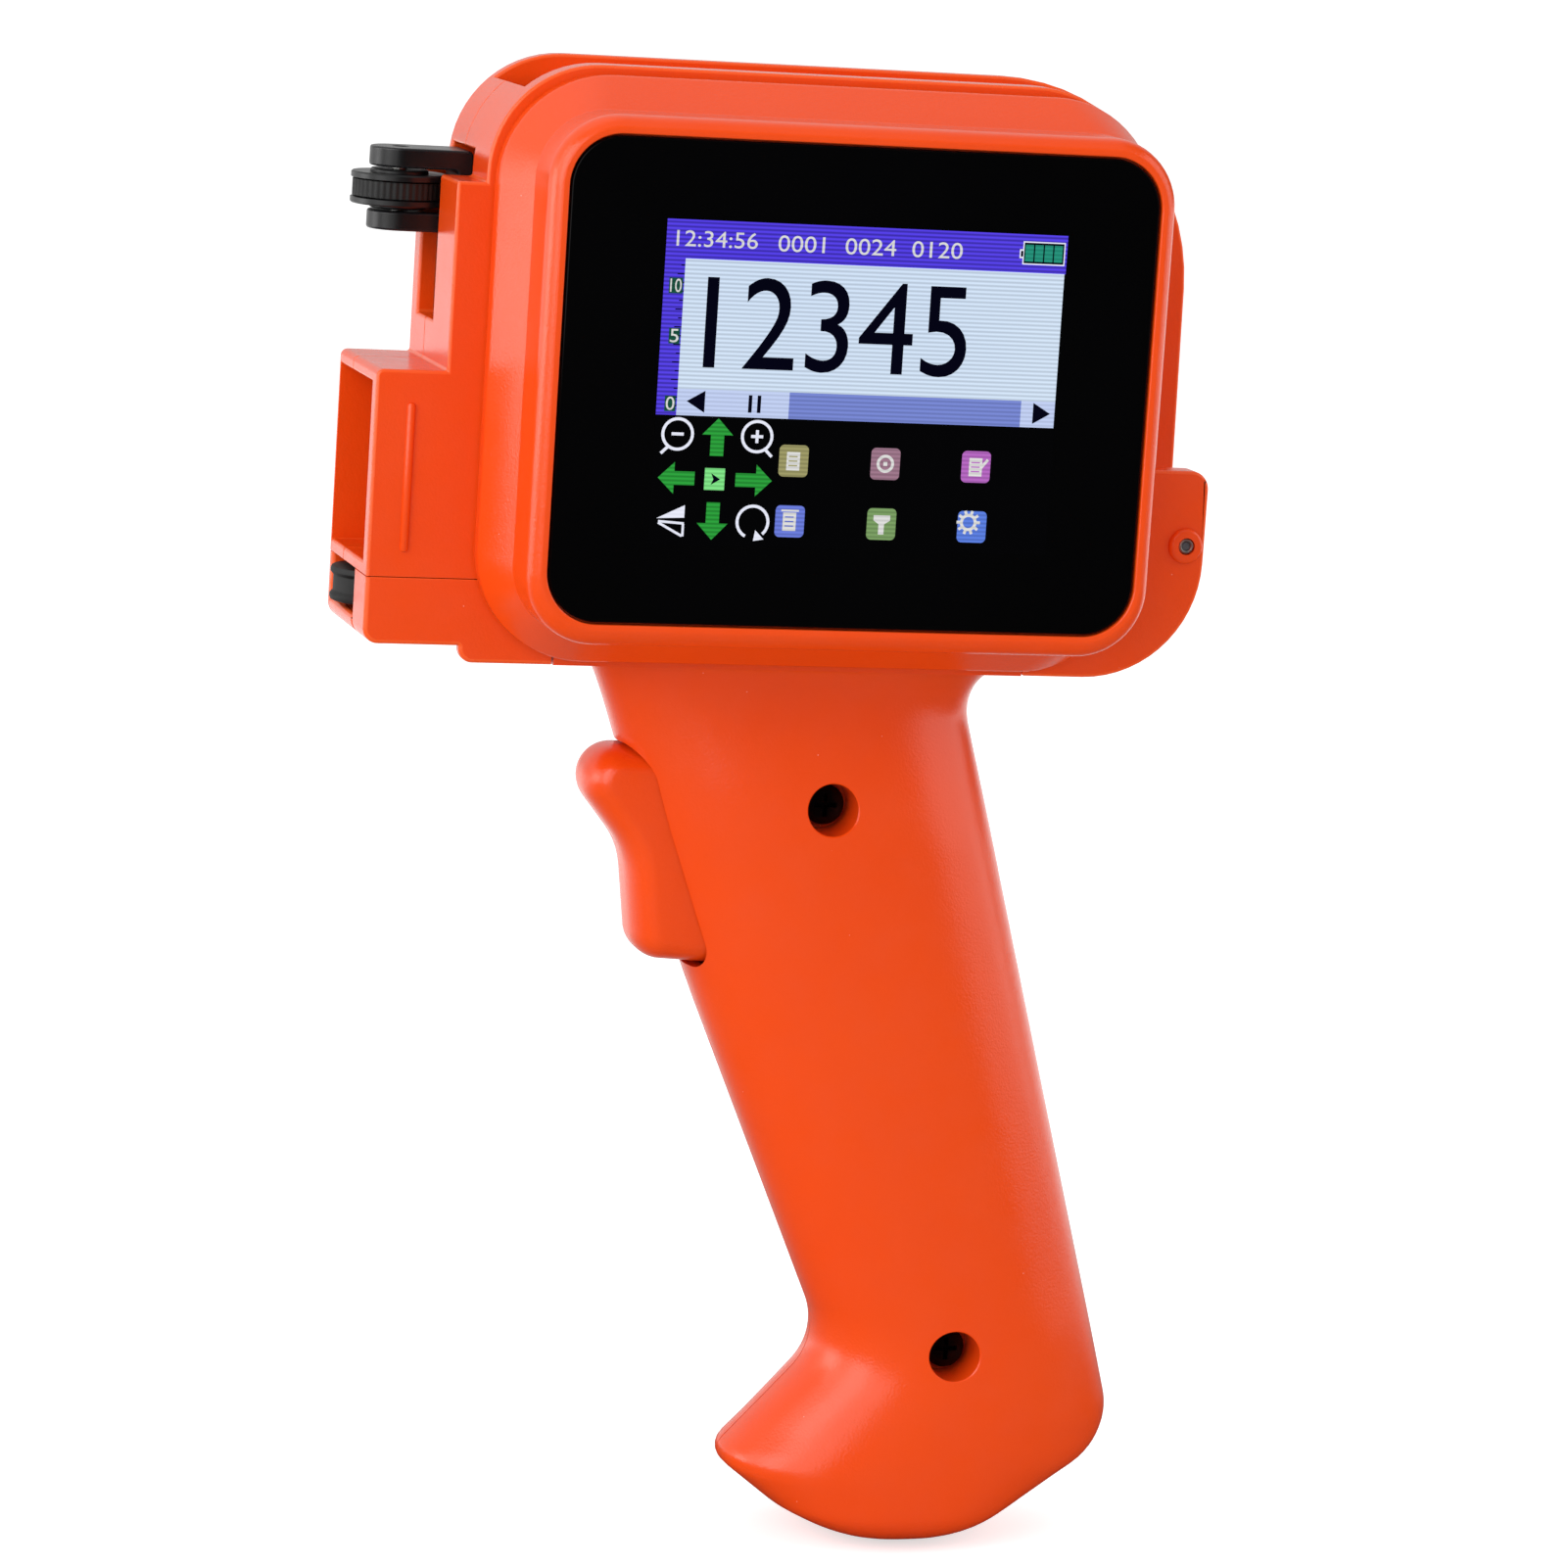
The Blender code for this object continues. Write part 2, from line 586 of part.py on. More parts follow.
def button_span():
    """Front and back of the power button."""
    return BUTTON_Y - BUTTON_HEIGHT / 2, BUTTON_Y + BUTTON_HEIGHT / 2


def side_slot(name, span, height, width):
    """A slot through the frame's right wall for a piece of a given span and width."""
    low = (FRAME_RIGHT - HOUSING_WALL - FIT, span[0] - FIT, height - width / 2 - FIT)
    high = (FRAME_RIGHT + PAST, span[1] + FIT, height + width / 2 + FIT)
    return block(name, low, high)


def touch_screen():
    """Cover glass, display module and main board with its screws."""
    lofted("touch_glass", [glass_ring(-FIT, 0.0), glass_ring(0.0, FIT), glass_ring(0.0, GLASS_THICKNESS)],
           BLACK_GLASS)
    block("lcd_module", (-LCD_WIDTH / 2, LEDGE_FRONT, -LCD_HEIGHT / 2),
          (LCD_WIDTH / 2, LEDGE_FRONT + LCD_THICKNESS, LCD_HEIGHT / 2), GREY_PLASTIC)
    half_height = BOARD_HEIGHT / 2
    outline = arc_corners(box_corners(BOARD_LEFT, BOARD_RIGHT, -half_height, half_height, BOARD_CORNER))
    board = extruded("main_board", outline, BOARD_FRONT, BOARD_BACK, GREEN_BOARD)
    for index, (x, z) in enumerate(board_posts(), 1):
        cut(board, rod(f"board_hole_{index}", BOARD_SCREW_SHANK + FIT, (x, BOARD_FRONT - PAST, z),
                       (x, BOARD_BACK + PAST, z), sides=12))
        head_face = BOARD_BACK + FIT + BOARD_SCREW_HEAD_HEIGHT
        screw(f"board_screw_{index}", x, z, head_face, BOARD_SCREW_HEAD, BOARD_SCREW_HEAD_HEIGHT,
              BOARD_SCREW_SHANK, BOARD_SCREW_LENGTH, -1)


def side_controls():
    """Charge socket, power button and its switch at the right edge of the board."""
    front, back = socket_span()
    mouth = FRAME_RIGHT - SOCKET_INSET
    inner_end = LCD_WIDTH / 2 + SOCKET_LCD_GAP
    socket = block("charge_socket", (inner_end, front, SOCKET_Z - SOCKET_WIDTH / 2),
                   (mouth, back, SOCKET_Z + SOCKET_WIDTH / 2), BRIGHT_STEEL)
    cut(socket, block("socket_mouth",
                      (inner_end + SOCKET_WALL, front + SOCKET_WALL,
                       SOCKET_Z - SOCKET_WIDTH / 2 + SOCKET_WALL),
                      (mouth + PAST, back - SOCKET_WALL, SOCKET_Z + SOCKET_WIDTH / 2 - SOCKET_WALL)))
    front, back = button_span()
    face = FRAME_RIGHT + BUTTON_PROUD
    stem = face - BUTTON_LENGTH
    block("power_button", (stem, front, BUTTON_Z - BUTTON_WIDTH / 2),
          (face, back, BUTTON_Z + BUTTON_WIDTH / 2), BLACK_PLASTIC, bevel=FIT)
    front, back = socket_span()
    block("power_switch", (LCD_WIDTH / 2 + TACT_LCD_GAP, front, BUTTON_Z - TACT_SWITCH_SIZE / 2),
          (stem - BUTTON_GAP, back, BUTTON_Z + TACT_SWITCH_SIZE / 2), BLACK_PLASTIC)


def left_side():
    """Corners of the head's left side, from the saddle's corner up to the body's left edge."""
    return [
        (SADDLE_RIGHT + FIT, HEAD_BOTTOM, 0.0),
        (SADDLE_RIGHT + FIT, SHELL_BOTTOM, 0.0),
        (FOOT_RIGHT + FIT, SHELL_BOTTOM, 0.0),
        (FOOT_RIGHT + FIT, NOSE_SEAM, 0.0),
        (NOSE_LEFT, NOSE_SEAM, 0.0),
        (NOSE_LEFT, NOSE_TOP, 0.0),
        (COLUMN_LEFT, NOSE_TOP, 0.0),
        (COLUMN_LEFT, COLUMN_TOP, 0.0),
        (HEAD_LEFT, COLUMN_TOP, 0.0),
    ]


def front_outline():
    """Outline of the front shell, with the lug at the lower right."""
    return arc_corners(left_side() + [
        (HEAD_LEFT, HEAD_TOP, HEAD_CORNER),
        (HEAD_RIGHT, HEAD_TOP, HEAD_RIGHT_CORNER),
        (HEAD_RIGHT, LUG_TOP, 0.0),
        (LUG_RIGHT, LUG_TOP, LUG_CORNER),
        (LUG_RIGHT, HEAD_BOTTOM, LUG_SWEEP),
    ])


def back_outline():
    """Outline of the back shell, whose right edge leans outwards."""
    return arc_corners(left_side() + [
        (HEAD_LEFT, BACK_TOP, HEAD_CORNER),
        (BACK_RIGHT_TOP, BACK_TOP, BACK_CORNER),
        (BACK_RIGHT_LOW, HEAD_BOTTOM, LUG_SWEEP),
    ])


def bay_cutters():
    """The spaces that both shells share: bay, print sleeve, column slot, lever pocket and notch."""
    far_right = BACK_RIGHT_LOW + PAST
    far_top = BACK_TOP + PAST
    inner_left = HEAD_LEFT + HEAD_WALL
    floor_left = FOOT_RIGHT + FIT + HEAD_WALL
    bay = extruded("bay_space", arc_corners([
        (inner_left, WINDOW_BOTTOM, 0.0),
        (floor_left, WINDOW_BOTTOM, 0.0),
        (floor_left, BAY_FLOOR, 0.0),
        (far_right, BAY_FLOOR, 0.0),
        (far_right, HEAD_TOP - HEAD_WALL, 0.0),
        (inner_left, HEAD_TOP - HEAD_WALL, HEAD_CORNER - HEAD_WALL),
    ]), PLATE_BACK, BAY_BACK)
    mouth = block("bay_mouth", (BAY_STEP, PLATE_BACK, HEAD_TOP - HEAD_CORNER),
                  (far_right, BAY_BACK, far_top))
    sleeve = block("print_sleeve", (NOSE_LEFT - PAST, HEAD_FRONT + WINDOW_FRONT_WALL, WINDOW_BOTTOM),
                   (inner_left + HEAD_WALL, HEAD_BACK - WINDOW_BACK_WALL, WINDOW_TOP))
    slot = block("column_slot", (COLUMN_LEFT - PAST, SLOT_FRONT, SLOT_BOTTOM),
                 (LEVER_LEFT, SLOT_BACK, COLUMN_TOP + PAST))
    wheel_room = block("wheel_room", (COLUMN_LEFT - PAST, SLOT_FRONT, LOWER_ARM_LOW - HEAD_WALL),
                       (LEVER_LEFT, POCKET_BACK, NOTCH_TOP))
    pocket = block("lever_pocket", (LEVER_LEFT - FIT, SLOT_FRONT, SLOT_BOTTOM + FIT),
                   (inner_left + HEAD_WALL, POCKET_BACK, NOTCH_TOP))
    notch = block("bracket_notch", (HEAD_LEFT - PAST, NOTCH_FRONT, COLUMN_TOP),
                  (HEAD_LEFT + NOTCH_DEPTH, POCKET_BACK, NOTCH_TOP))
    return bay, mouth, sleeve, slot, wheel_room, pocket, notch


def shell_screw_face():
    """Depth of the shell screws' head faces, sunk in the back plate."""
    return HEAD_BACK - SHELL_SCREW_SINK + SHELL_SCREW_HEAD_HEIGHT


def head_shells():
    """Front and back shells of the head with bosses and screws."""
    front = extruded("head_front_shell", front_outline(), HEAD_FRONT, SEAM - FIT / 2, ORANGE_ABS)
    back = extruded("head_back_shell", back_outline(), SEAM + FIT / 2, HEAD_BACK, ORANGE_ABS)
    bay, mouth, sleeve, slot, wheel_room, pocket, notch = bay_cutters()
    for shell in (front, back):
        cut(shell, bay, mouth, sleeve, slot, wheel_room, pocket, notch)
    join(front, rod("nose_bead", NOSE_BEAD_RADIUS, (NOSE_BEAD_X, HEAD_FRONT, NOSE_BEAD_BOTTOM),
                    (NOSE_BEAD_X, HEAD_FRONT, NOSE_BEAD_TOP), sides=12))
    for index, (x, z) in enumerate(SHELL_SCREWS, 1):
        if x > HEAD_LEFT:
            join(front, rod(f"front_boss_{index}", SHELL_BOSS_RADIUS, (x, PLATE_BACK - ROOT, z),
                            (x, SEAM - FIT / 2, z)))
            join(back, rod(f"back_boss_{index}", SHELL_BOSS_RADIUS, (x, SEAM + FIT / 2, z),
                           (x, BAY_BACK + ROOT, z)))
        face = shell_screw_face()
        seat = face - SHELL_SCREW_HEAD_HEIGHT
        tip = seat - SHELL_SCREW_LENGTH
        hole = rod(f"shell_hole_{index}", SHELL_SCREW_SHANK + FIT, (x, tip - FIT, z), (x, HEAD_BACK, z),
                   sides=16)
        sink = rod(f"shell_sink_{index}", SHELL_SCREW_HEAD + FIT, (x, seat - FIT, z),
                   (x, HEAD_BACK + PAST, z))
        cut(front, hole)
        cut(back, hole, sink)
        screw(f"shell_screw_{index}", x, z, face, SHELL_SCREW_HEAD, SHELL_SCREW_HEAD_HEIGHT,
              SHELL_SCREW_SHANK, SHELL_SCREW_LENGTH, -1)
    for index, (x, z) in enumerate(HOUSING_SCREWS, 1):
        seat = PLATE_BACK - HOUSING_SCREW_SINK
        cut(front, rod(f"plate_hole_{index}", HOUSING_SCREW_SHANK + FIT, (x, HEAD_FRONT - PAST, z),
                       (x, PLATE_BACK + PAST, z), sides=12))
        cut(front, rod(f"plate_sink_{index}", HOUSING_SCREW_HEAD + FIT, (x, seat - FIT, z),
                       (x, PLATE_BACK + PAST, z)))
        screw(f"housing_screw_{index}", x, z, seat + HOUSING_SCREW_HEAD_HEIGHT, HOUSING_SCREW_HEAD,
              HOUSING_SCREW_HEAD_HEIGHT, HOUSING_SCREW_SHANK, HOUSING_SCREW_LENGTH, -1)
    join(front, rod("hinge_boss", HINGE_BOSS_RADIUS, (HINGE_X, HEAD_FRONT - HINGE_BOSS_PROUD, HINGE_Z),
                    (HINGE_X, HEAD_FRONT + ROOT, HINGE_Z)))
    pin_hole = rod("hinge_hole", HINGE_PIN_RADIUS + FIT, (HINGE_X, HEAD_FRONT - PAST, HINGE_Z),
                   (HINGE_X, HEAD_BACK + PAST, HINGE_Z), sides=16)
    cut(front, pin_hole)
    cut(back, pin_hole)
    lever_hole = rod("lever_pin_hole", BRACKET_PIN_RADIUS + FIT,
                     (BRACKET_PIVOT_X, SLOT_FRONT - BRACKET_PIN_SEAT - FIT, BRACKET_PIVOT_Z),
                     (BRACKET_PIVOT_X, POCKET_BACK + BRACKET_PIN_SEAT, BRACKET_PIVOT_Z), sides=12)
    cut(front, lever_hole)
    cut(back, lever_hole)


def hinge_and_door():
    """Tubular hinge pin and the arched cartridge door that swings on it."""
    start = (HINGE_X, HEAD_FRONT - HINGE_BOSS_PROUD + HINGE_PIN_INSET, HINGE_Z)
    end = (HINGE_X, HEAD_BACK - HINGE_PIN_INSET, HINGE_Z)
    pin = rod("hinge_pin", HINGE_PIN_RADIUS, start, end, BRIGHT_STEEL, sides=16)
    cut(pin, rod("hinge_pin_bore", HINGE_PIN_BORE, (HINGE_X, HEAD_FRONT - PAST, HINGE_Z),
                 (HINGE_X, HEAD_BACK + PAST, HINGE_Z), sides=16))
    inner_top = DOOR_TOP - DOOR_WALL
    inner_right = DOOR_RIGHT - DOOR_WALL
    web_top = HINGE_Z + DOOR_WALL
    web_bottom = HINGE_Z - DOOR_WALL
    outline = arc_corners([
        (DOOR_LIP, inner_top, 0.0),
        (DOOR_LIP, DOOR_TOP, DOOR_WALL * 0.7),
        (DOOR_RIGHT, DOOR_TOP, DOOR_CORNER),
        (DOOR_RIGHT, web_top, DOOR_WALL / 2),
        (HINGE_X, web_top, 0.0),
        (HINGE_X, web_bottom, 0.0),
        (inner_right, web_bottom, DOOR_WALL / 2),
        (inner_right, inner_top, DOOR_CORNER - DOOR_WALL),
    ])
    front = PLATE_BACK + DOOR_SIDE_GAP
    back = BAY_BACK - DOOR_SIDE_GAP
    door = extruded("cartridge_door", outline, front, back, ORANGE_ABS, origin=(HINGE_X, 0.0, HINGE_Z))
    join(door, rod("door_knuckle", DOOR_KNUCKLE, (HINGE_X, front, HINGE_Z), (HINGE_X, back, HINGE_Z)))
    cut(door, rod("knuckle_bore", HINGE_PIN_RADIUS + FIT, (HINGE_X, front - PAST, HINGE_Z),
                  (HINGE_X, back + PAST, HINGE_Z), sides=16))
    block("contact_block", (CONTACT_LEFT, BAY_BACK - FIT - CONTACT_THICKNESS, CONTACT_TOP - CONTACT_HEIGHT),
          (CONTACT_LEFT + CONTACT_WIDTH, BAY_BACK - FIT, CONTACT_TOP), BLACK_PLASTIC, bevel=2 * FIT)


def nose_foot():
    """Foot under the nose, in a front and a back piece, with the guide roller on its pin."""
    outline = arc_corners([
        (NOSE_LEFT, FOOT_TOP, 0.0),
        (NOSE_LEFT, FOOT_BOTTOM, FOOT_CORNER),
        (FOOT_STEP_X, FOOT_BOTTOM, FOOT_CORNER / 2),
        (FOOT_STEP_X, HEAD_BOTTOM, FOOT_CORNER / 2),
        (FOOT_RIGHT, HEAD_BOTTOM, 0.0),
        (FOOT_RIGHT, FOOT_TOP, 0.0),
    ])
    front = extruded("nose_foot_front", outline, HEAD_FRONT, FOOT_SPLIT - FIT / 2, ORANGE_ABS)
    back = extruded("nose_foot_back", outline, FOOT_SPLIT + FIT / 2, HEAD_BACK, ORANGE_ABS)
    hollow = block("foot_hollow", (NOSE_LEFT + FOOT_WALL, HEAD_FRONT + FOOT_WALL, FOOT_BOTTOM + FOOT_WALL),
                   (FOOT_RIGHT - FOOT_WALL, HEAD_BACK - FOOT_WALL + FIT, FOOT_TOP + PAST))
    cut(front, hollow)
    top = FOOT_TOP - ROLLER_TOP_GAP
    low = top - ROLLER_HEIGHT
    slot = block("roller_slot", (NOSE_LEFT - PAST, FOOT_SPLIT - PAST, low - ROLLER_TOP_GAP),
                 (NOSE_LEFT + FOOT_WALL + FIT, ROLLER_SLOT_BACK, FOOT_TOP + PAST))
    cut(back, hollow, slot)
    floor = FOOT_BOTTOM + FOOT_WALL
    stub = rod("roller_stub", 2 * ROLLER_PIN_RADIUS, (ROLLER_X, ROLLER_Y, floor - ROOT),
               (ROLLER_X, ROLLER_Y, low - FIT), sides=16)
    join(back, stub)
    seat = floor - ROLLER_PIN_SEAT
    cut(back, rod("roller_pin_hole", ROLLER_PIN_RADIUS + FIT, (ROLLER_X, ROLLER_Y, seat),
                  (ROLLER_X, ROLLER_Y, FOOT_TOP + PAST), sides=16))
    roller = rod("nose_roller", ROLLER_RADIUS, (ROLLER_X, ROLLER_Y, low), (ROLLER_X, ROLLER_Y, top),
                 BLACK_RUBBER, sides=32, origin=(ROLLER_X, ROLLER_Y, (low + top) / 2))
    cut(roller, rod("roller_bore", ROLLER_PIN_RADIUS + FIT, (ROLLER_X, ROLLER_Y, low - PAST),
                    (ROLLER_X, ROLLER_Y, top + PAST), sides=16))
    rod("nose_roller_pin", ROLLER_PIN_RADIUS, (ROLLER_X, ROLLER_Y, seat + FIT),
        (ROLLER_X, ROLLER_Y, FOOT_TOP), BRIGHT_STEEL, sides=16)


def spool_profile():
    """Half section of the encoder wheel (radius, height): hub, flanges and the groove for the tyre."""
    half = WHEEL_WIDTH / 2
    groove = half - WHEEL_FLANGE
    hub_half = (UPPER_ARM_LOW - LOWER_ARM_HIGH) / 2 - FIT
    bore = AXLE_RADIUS + FIT
    return [(bore, hub_half), (WHEEL_HUB, hub_half), (WHEEL_HUB, half), (WHEEL_RADIUS, half),
            (WHEEL_RADIUS, groove), (WHEEL_CORE, groove), (WHEEL_CORE, -groove), (WHEEL_RADIUS, -groove),
            (WHEEL_RADIUS, -half), (WHEEL_HUB, -half), (WHEEL_HUB, -hub_half), (bore, -hub_half)]


def turned(name, profile, centre, finish, steps):
    """A closed half section (radius, height) swept round the vertical axis through a centre."""
    section = bmesh.new()
    knots = [section.verts.new((radius, 0.0, height)) for radius, height in profile]
    for first, second in zip(knots, knots[1:] + knots[:1]):
        section.edges.new((first, second))
    piece = add_object(name, section, finish)
    piece.location = centre
    sweep = piece.modifiers.new("sweep", "SCREW")
    sweep.axis = "Z"
    sweep.angle = math.tau
    sweep.steps = steps
    sweep.render_steps = steps
    sweep.use_merge_vertices = True
    sweep.merge_threshold = WELD
    sweep.use_smooth_shade = True
    return piece


def encoder():
    """Measuring wheel with its toothed tyre and axle, on a bracket that swings on a pin."""
    centre = Vector((WHEEL_X, WHEEL_Y, WHEEL_Z))
    turned("encoder_wheel", spool_profile(), centre, BLACK_PLASTIC, steps=32)
    half_tyre = WHEEL_WIDTH / 2 - WHEEL_FLANGE - FIT
    toothed = []
    for index in range(2 * TYRE_TEETH):
        radius = TYRE_RADIUS - TYRE_TOOTH * (index % 2)
        angle = math.pi * index / TYRE_TEETH
        toothed.append((WHEEL_X + radius * math.cos(angle), WHEEL_Y + radius * math.sin(angle)))
    tyre = extruded("encoder_tyre", toothed, WHEEL_Z - half_tyre, WHEEL_Z + half_tyre, BLACK_RUBBER,
                    along="Z", origin=centre)
    cut(tyre, rod("tyre_bore", WHEEL_CORE + FIT, (WHEEL_X, WHEEL_Y, WHEEL_Z - PAST),
                  (WHEEL_X, WHEEL_Y, WHEEL_Z + PAST), sides=32))
    rod("encoder_axle", AXLE_RADIUS, (WHEEL_X, WHEEL_Y, LOWER_ARM_LOW + FIT),
        (WHEEL_X, WHEEL_Y, UPPER_ARM_HIGH - FIT), BRIGHT_STEEL, sides=16)
    lever_right = LEVER_LEFT + LEVER_THICKNESS
    arm_end = WHEEL_X - ARM_RADIUS
    fork = [
        (lever_right, BRACKET_PIVOT_Z), (lever_right, UPPER_ARM_HIGH), (arm_end, UPPER_ARM_HIGH),
        (arm_end, UPPER_ARM_LOW), (LEVER_LEFT, UPPER_ARM_LOW), (LEVER_LEFT, LOWER_ARM_HIGH),
        (arm_end, LOWER_ARM_HIGH), (arm_end, LOWER_ARM_LOW), (LEVER_LEFT, LOWER_ARM_LOW),
        (LEVER_LEFT, BRACKET_PIVOT_Z),
    ]
    pivot = Vector((BRACKET_PIVOT_X, WHEEL_Y, BRACKET_PIVOT_Z))
    bracket = extruded("encoder_bracket", fork, WHEEL_Y - ARM_RADIUS - FIT, WHEEL_Y + ARM_RADIUS + FIT,
                       BLACK_PLASTIC, origin=pivot)
    bend = [(WHEEL_X + ARM_RADIUS * math.cos(turn), WHEEL_Y + ARM_RADIUS * math.sin(turn))
            for turn in (math.pi / 2 + math.pi * step / 12 for step in range(13))]
    plan = bend + [(lever_right + PAST, WHEEL_Y - ARM_RADIUS), (lever_right + PAST, WHEEL_Y + ARM_RADIUS)]
    combine(bracket, "INTERSECT", [extruded("bracket_plan", plan, BRACKET_PIVOT_Z - PAST,
                                            UPPER_ARM_HIGH + PAST, along="Z")])
    barrel_half = ARM_RADIUS - FIT
    join(bracket, rod("bracket_barrel", BRACKET_BARREL,
                      (BRACKET_PIVOT_X, WHEEL_Y - barrel_half, BRACKET_PIVOT_Z),
                      (BRACKET_PIVOT_X, WHEEL_Y + barrel_half, BRACKET_PIVOT_Z)))
    cut(bracket, rod("axle_hole", AXLE_RADIUS + FIT, (WHEEL_X, WHEEL_Y, LOWER_ARM_LOW - PAST),
                     (WHEEL_X, WHEEL_Y, UPPER_ARM_HIGH + PAST), sides=16))
    pin_front = (BRACKET_PIVOT_X, SLOT_FRONT - BRACKET_PIN_SEAT, BRACKET_PIVOT_Z)
    pin_back = (BRACKET_PIVOT_X, POCKET_BACK + BRACKET_PIN_SEAT - FIT, BRACKET_PIVOT_Z)
    rod("bracket_pin", BRACKET_PIN_RADIUS, pin_front, pin_back, BRIGHT_STEEL, sides=16)
    cut(bracket, rod("barrel_bore", BRACKET_PIN_RADIUS + FIT,
                     (BRACKET_PIVOT_X, WHEEL_Y - ARM_RADIUS - PAST, BRACKET_PIVOT_Z),
                     (BRACKET_PIVOT_X, WHEEL_Y + ARM_RADIUS + PAST, BRACKET_PIVOT_Z), sides=16))


def grip_outline():
    """Side outline of the grip, from the neck's left edge round the butt to the flare at the right."""
    return arc_corners([
        (GRIP_NECK_LEFT, HEAD_BOTTOM, 0.0),
        (GRIP_BULGE_X, GRIP_BULGE_Z, GRIP_BULGE_ROUND),
        (HOOK_ROOT_X, HOOK_ROOT_Z, HOOK_ROOT_ROUND),
        (HOOK_TIP_X, HOOK_TIP_Z, HOOK_TIP_ROUND),
        (BUTT_X, BUTT_Z, BUTT_ROUND),
        (HEEL_X, HEEL_Z, HEEL_ROUND),
        (GRIP_NECK_RIGHT, HEAD_BOTTOM, GRIP_NECK_FILLET),
        (GRIP_NECK_FLARE, HEAD_BOTTOM, 0.0),
    ])


def grip_bottom():
    """Height of the lowest point of the butt."""
    return min(point[1] for point in grip_outline())


def grip_edges(height):
    """Left and right edge of the grip's side outline at a height."""
    points = grip_outline()
    height = min(height, points[0][1])      # the neck's own height may be rounded to just above the outline
    crossings = []
    for first, second in zip(points, points[1:]):
        if (first[1] - height) * (second[1] - height) <= 0.0 and first[1] != second[1]:
            share = (height - first[1]) / (second[1] - first[1])
            crossings.append(first[0] + share * (second[0] - first[0]))
    return min(crossings), max(crossings)


def grip_half_depth(height):
    """Half the grip's thickness at a height: slimmer at the neck, rounded in at the butt."""
    neck = min(1.0, (HEAD_BOTTOM - height) / GRIP_NECK_LENGTH)
    swell = neck * neck * (3 - 2 * neck)
    depth = GRIP_NECK_HALF_DEPTH + (GRIP_HALF_DEPTH - GRIP_NECK_HALF_DEPTH) * swell
    rise = min(1.0, (height - grip_bottom()) / GRIP_BUTT_ROUND)
    return depth * (1 - (1 - rise) ** GRIP_ROUNDNESS) ** (1 / GRIP_ROUNDNESS)


def grip_ring(height, inset, level):
    """A superellipse section of the grip, taken at a height and drawn at a level."""
    left, right = grip_edges(height)
    half_width = (right - left) / 2 - inset
    half_depth = grip_half_depth(height) - inset
    power = 2 / GRIP_ROUNDNESS
    ring = []
    for index in range(GRIP_SIDES):
        angle = math.tau * index / GRIP_SIDES
        across = math.copysign(abs(math.cos(angle)) ** power, math.cos(angle))
        through = math.copysign(abs(math.sin(angle)) ** power, math.sin(angle))
        ring.append(((left + right) / 2 + half_width * across, GRIP_MID + half_depth * through, level))
    return ring


def grip_levels(lowest):
    """Heights of the grip's sections: one at each bend of the side outline, and some between."""
    levels = [HEAD_BOTTOM]
    bends = sorted(point[1] for point in grip_outline() if point[1] > lowest + GRIP_LEVEL_GAP)
    for height in [*reversed(bends), lowest]:
        gap = levels[-1] - height
        if height > lowest and gap < GRIP_LEVEL_GAP:
            continue
        count = math.ceil(gap / GRIP_LEVEL_SPAN)
        start = levels[-1]
        levels.extend(start - gap * (step + 1) / count for step in range(count))
    return levels


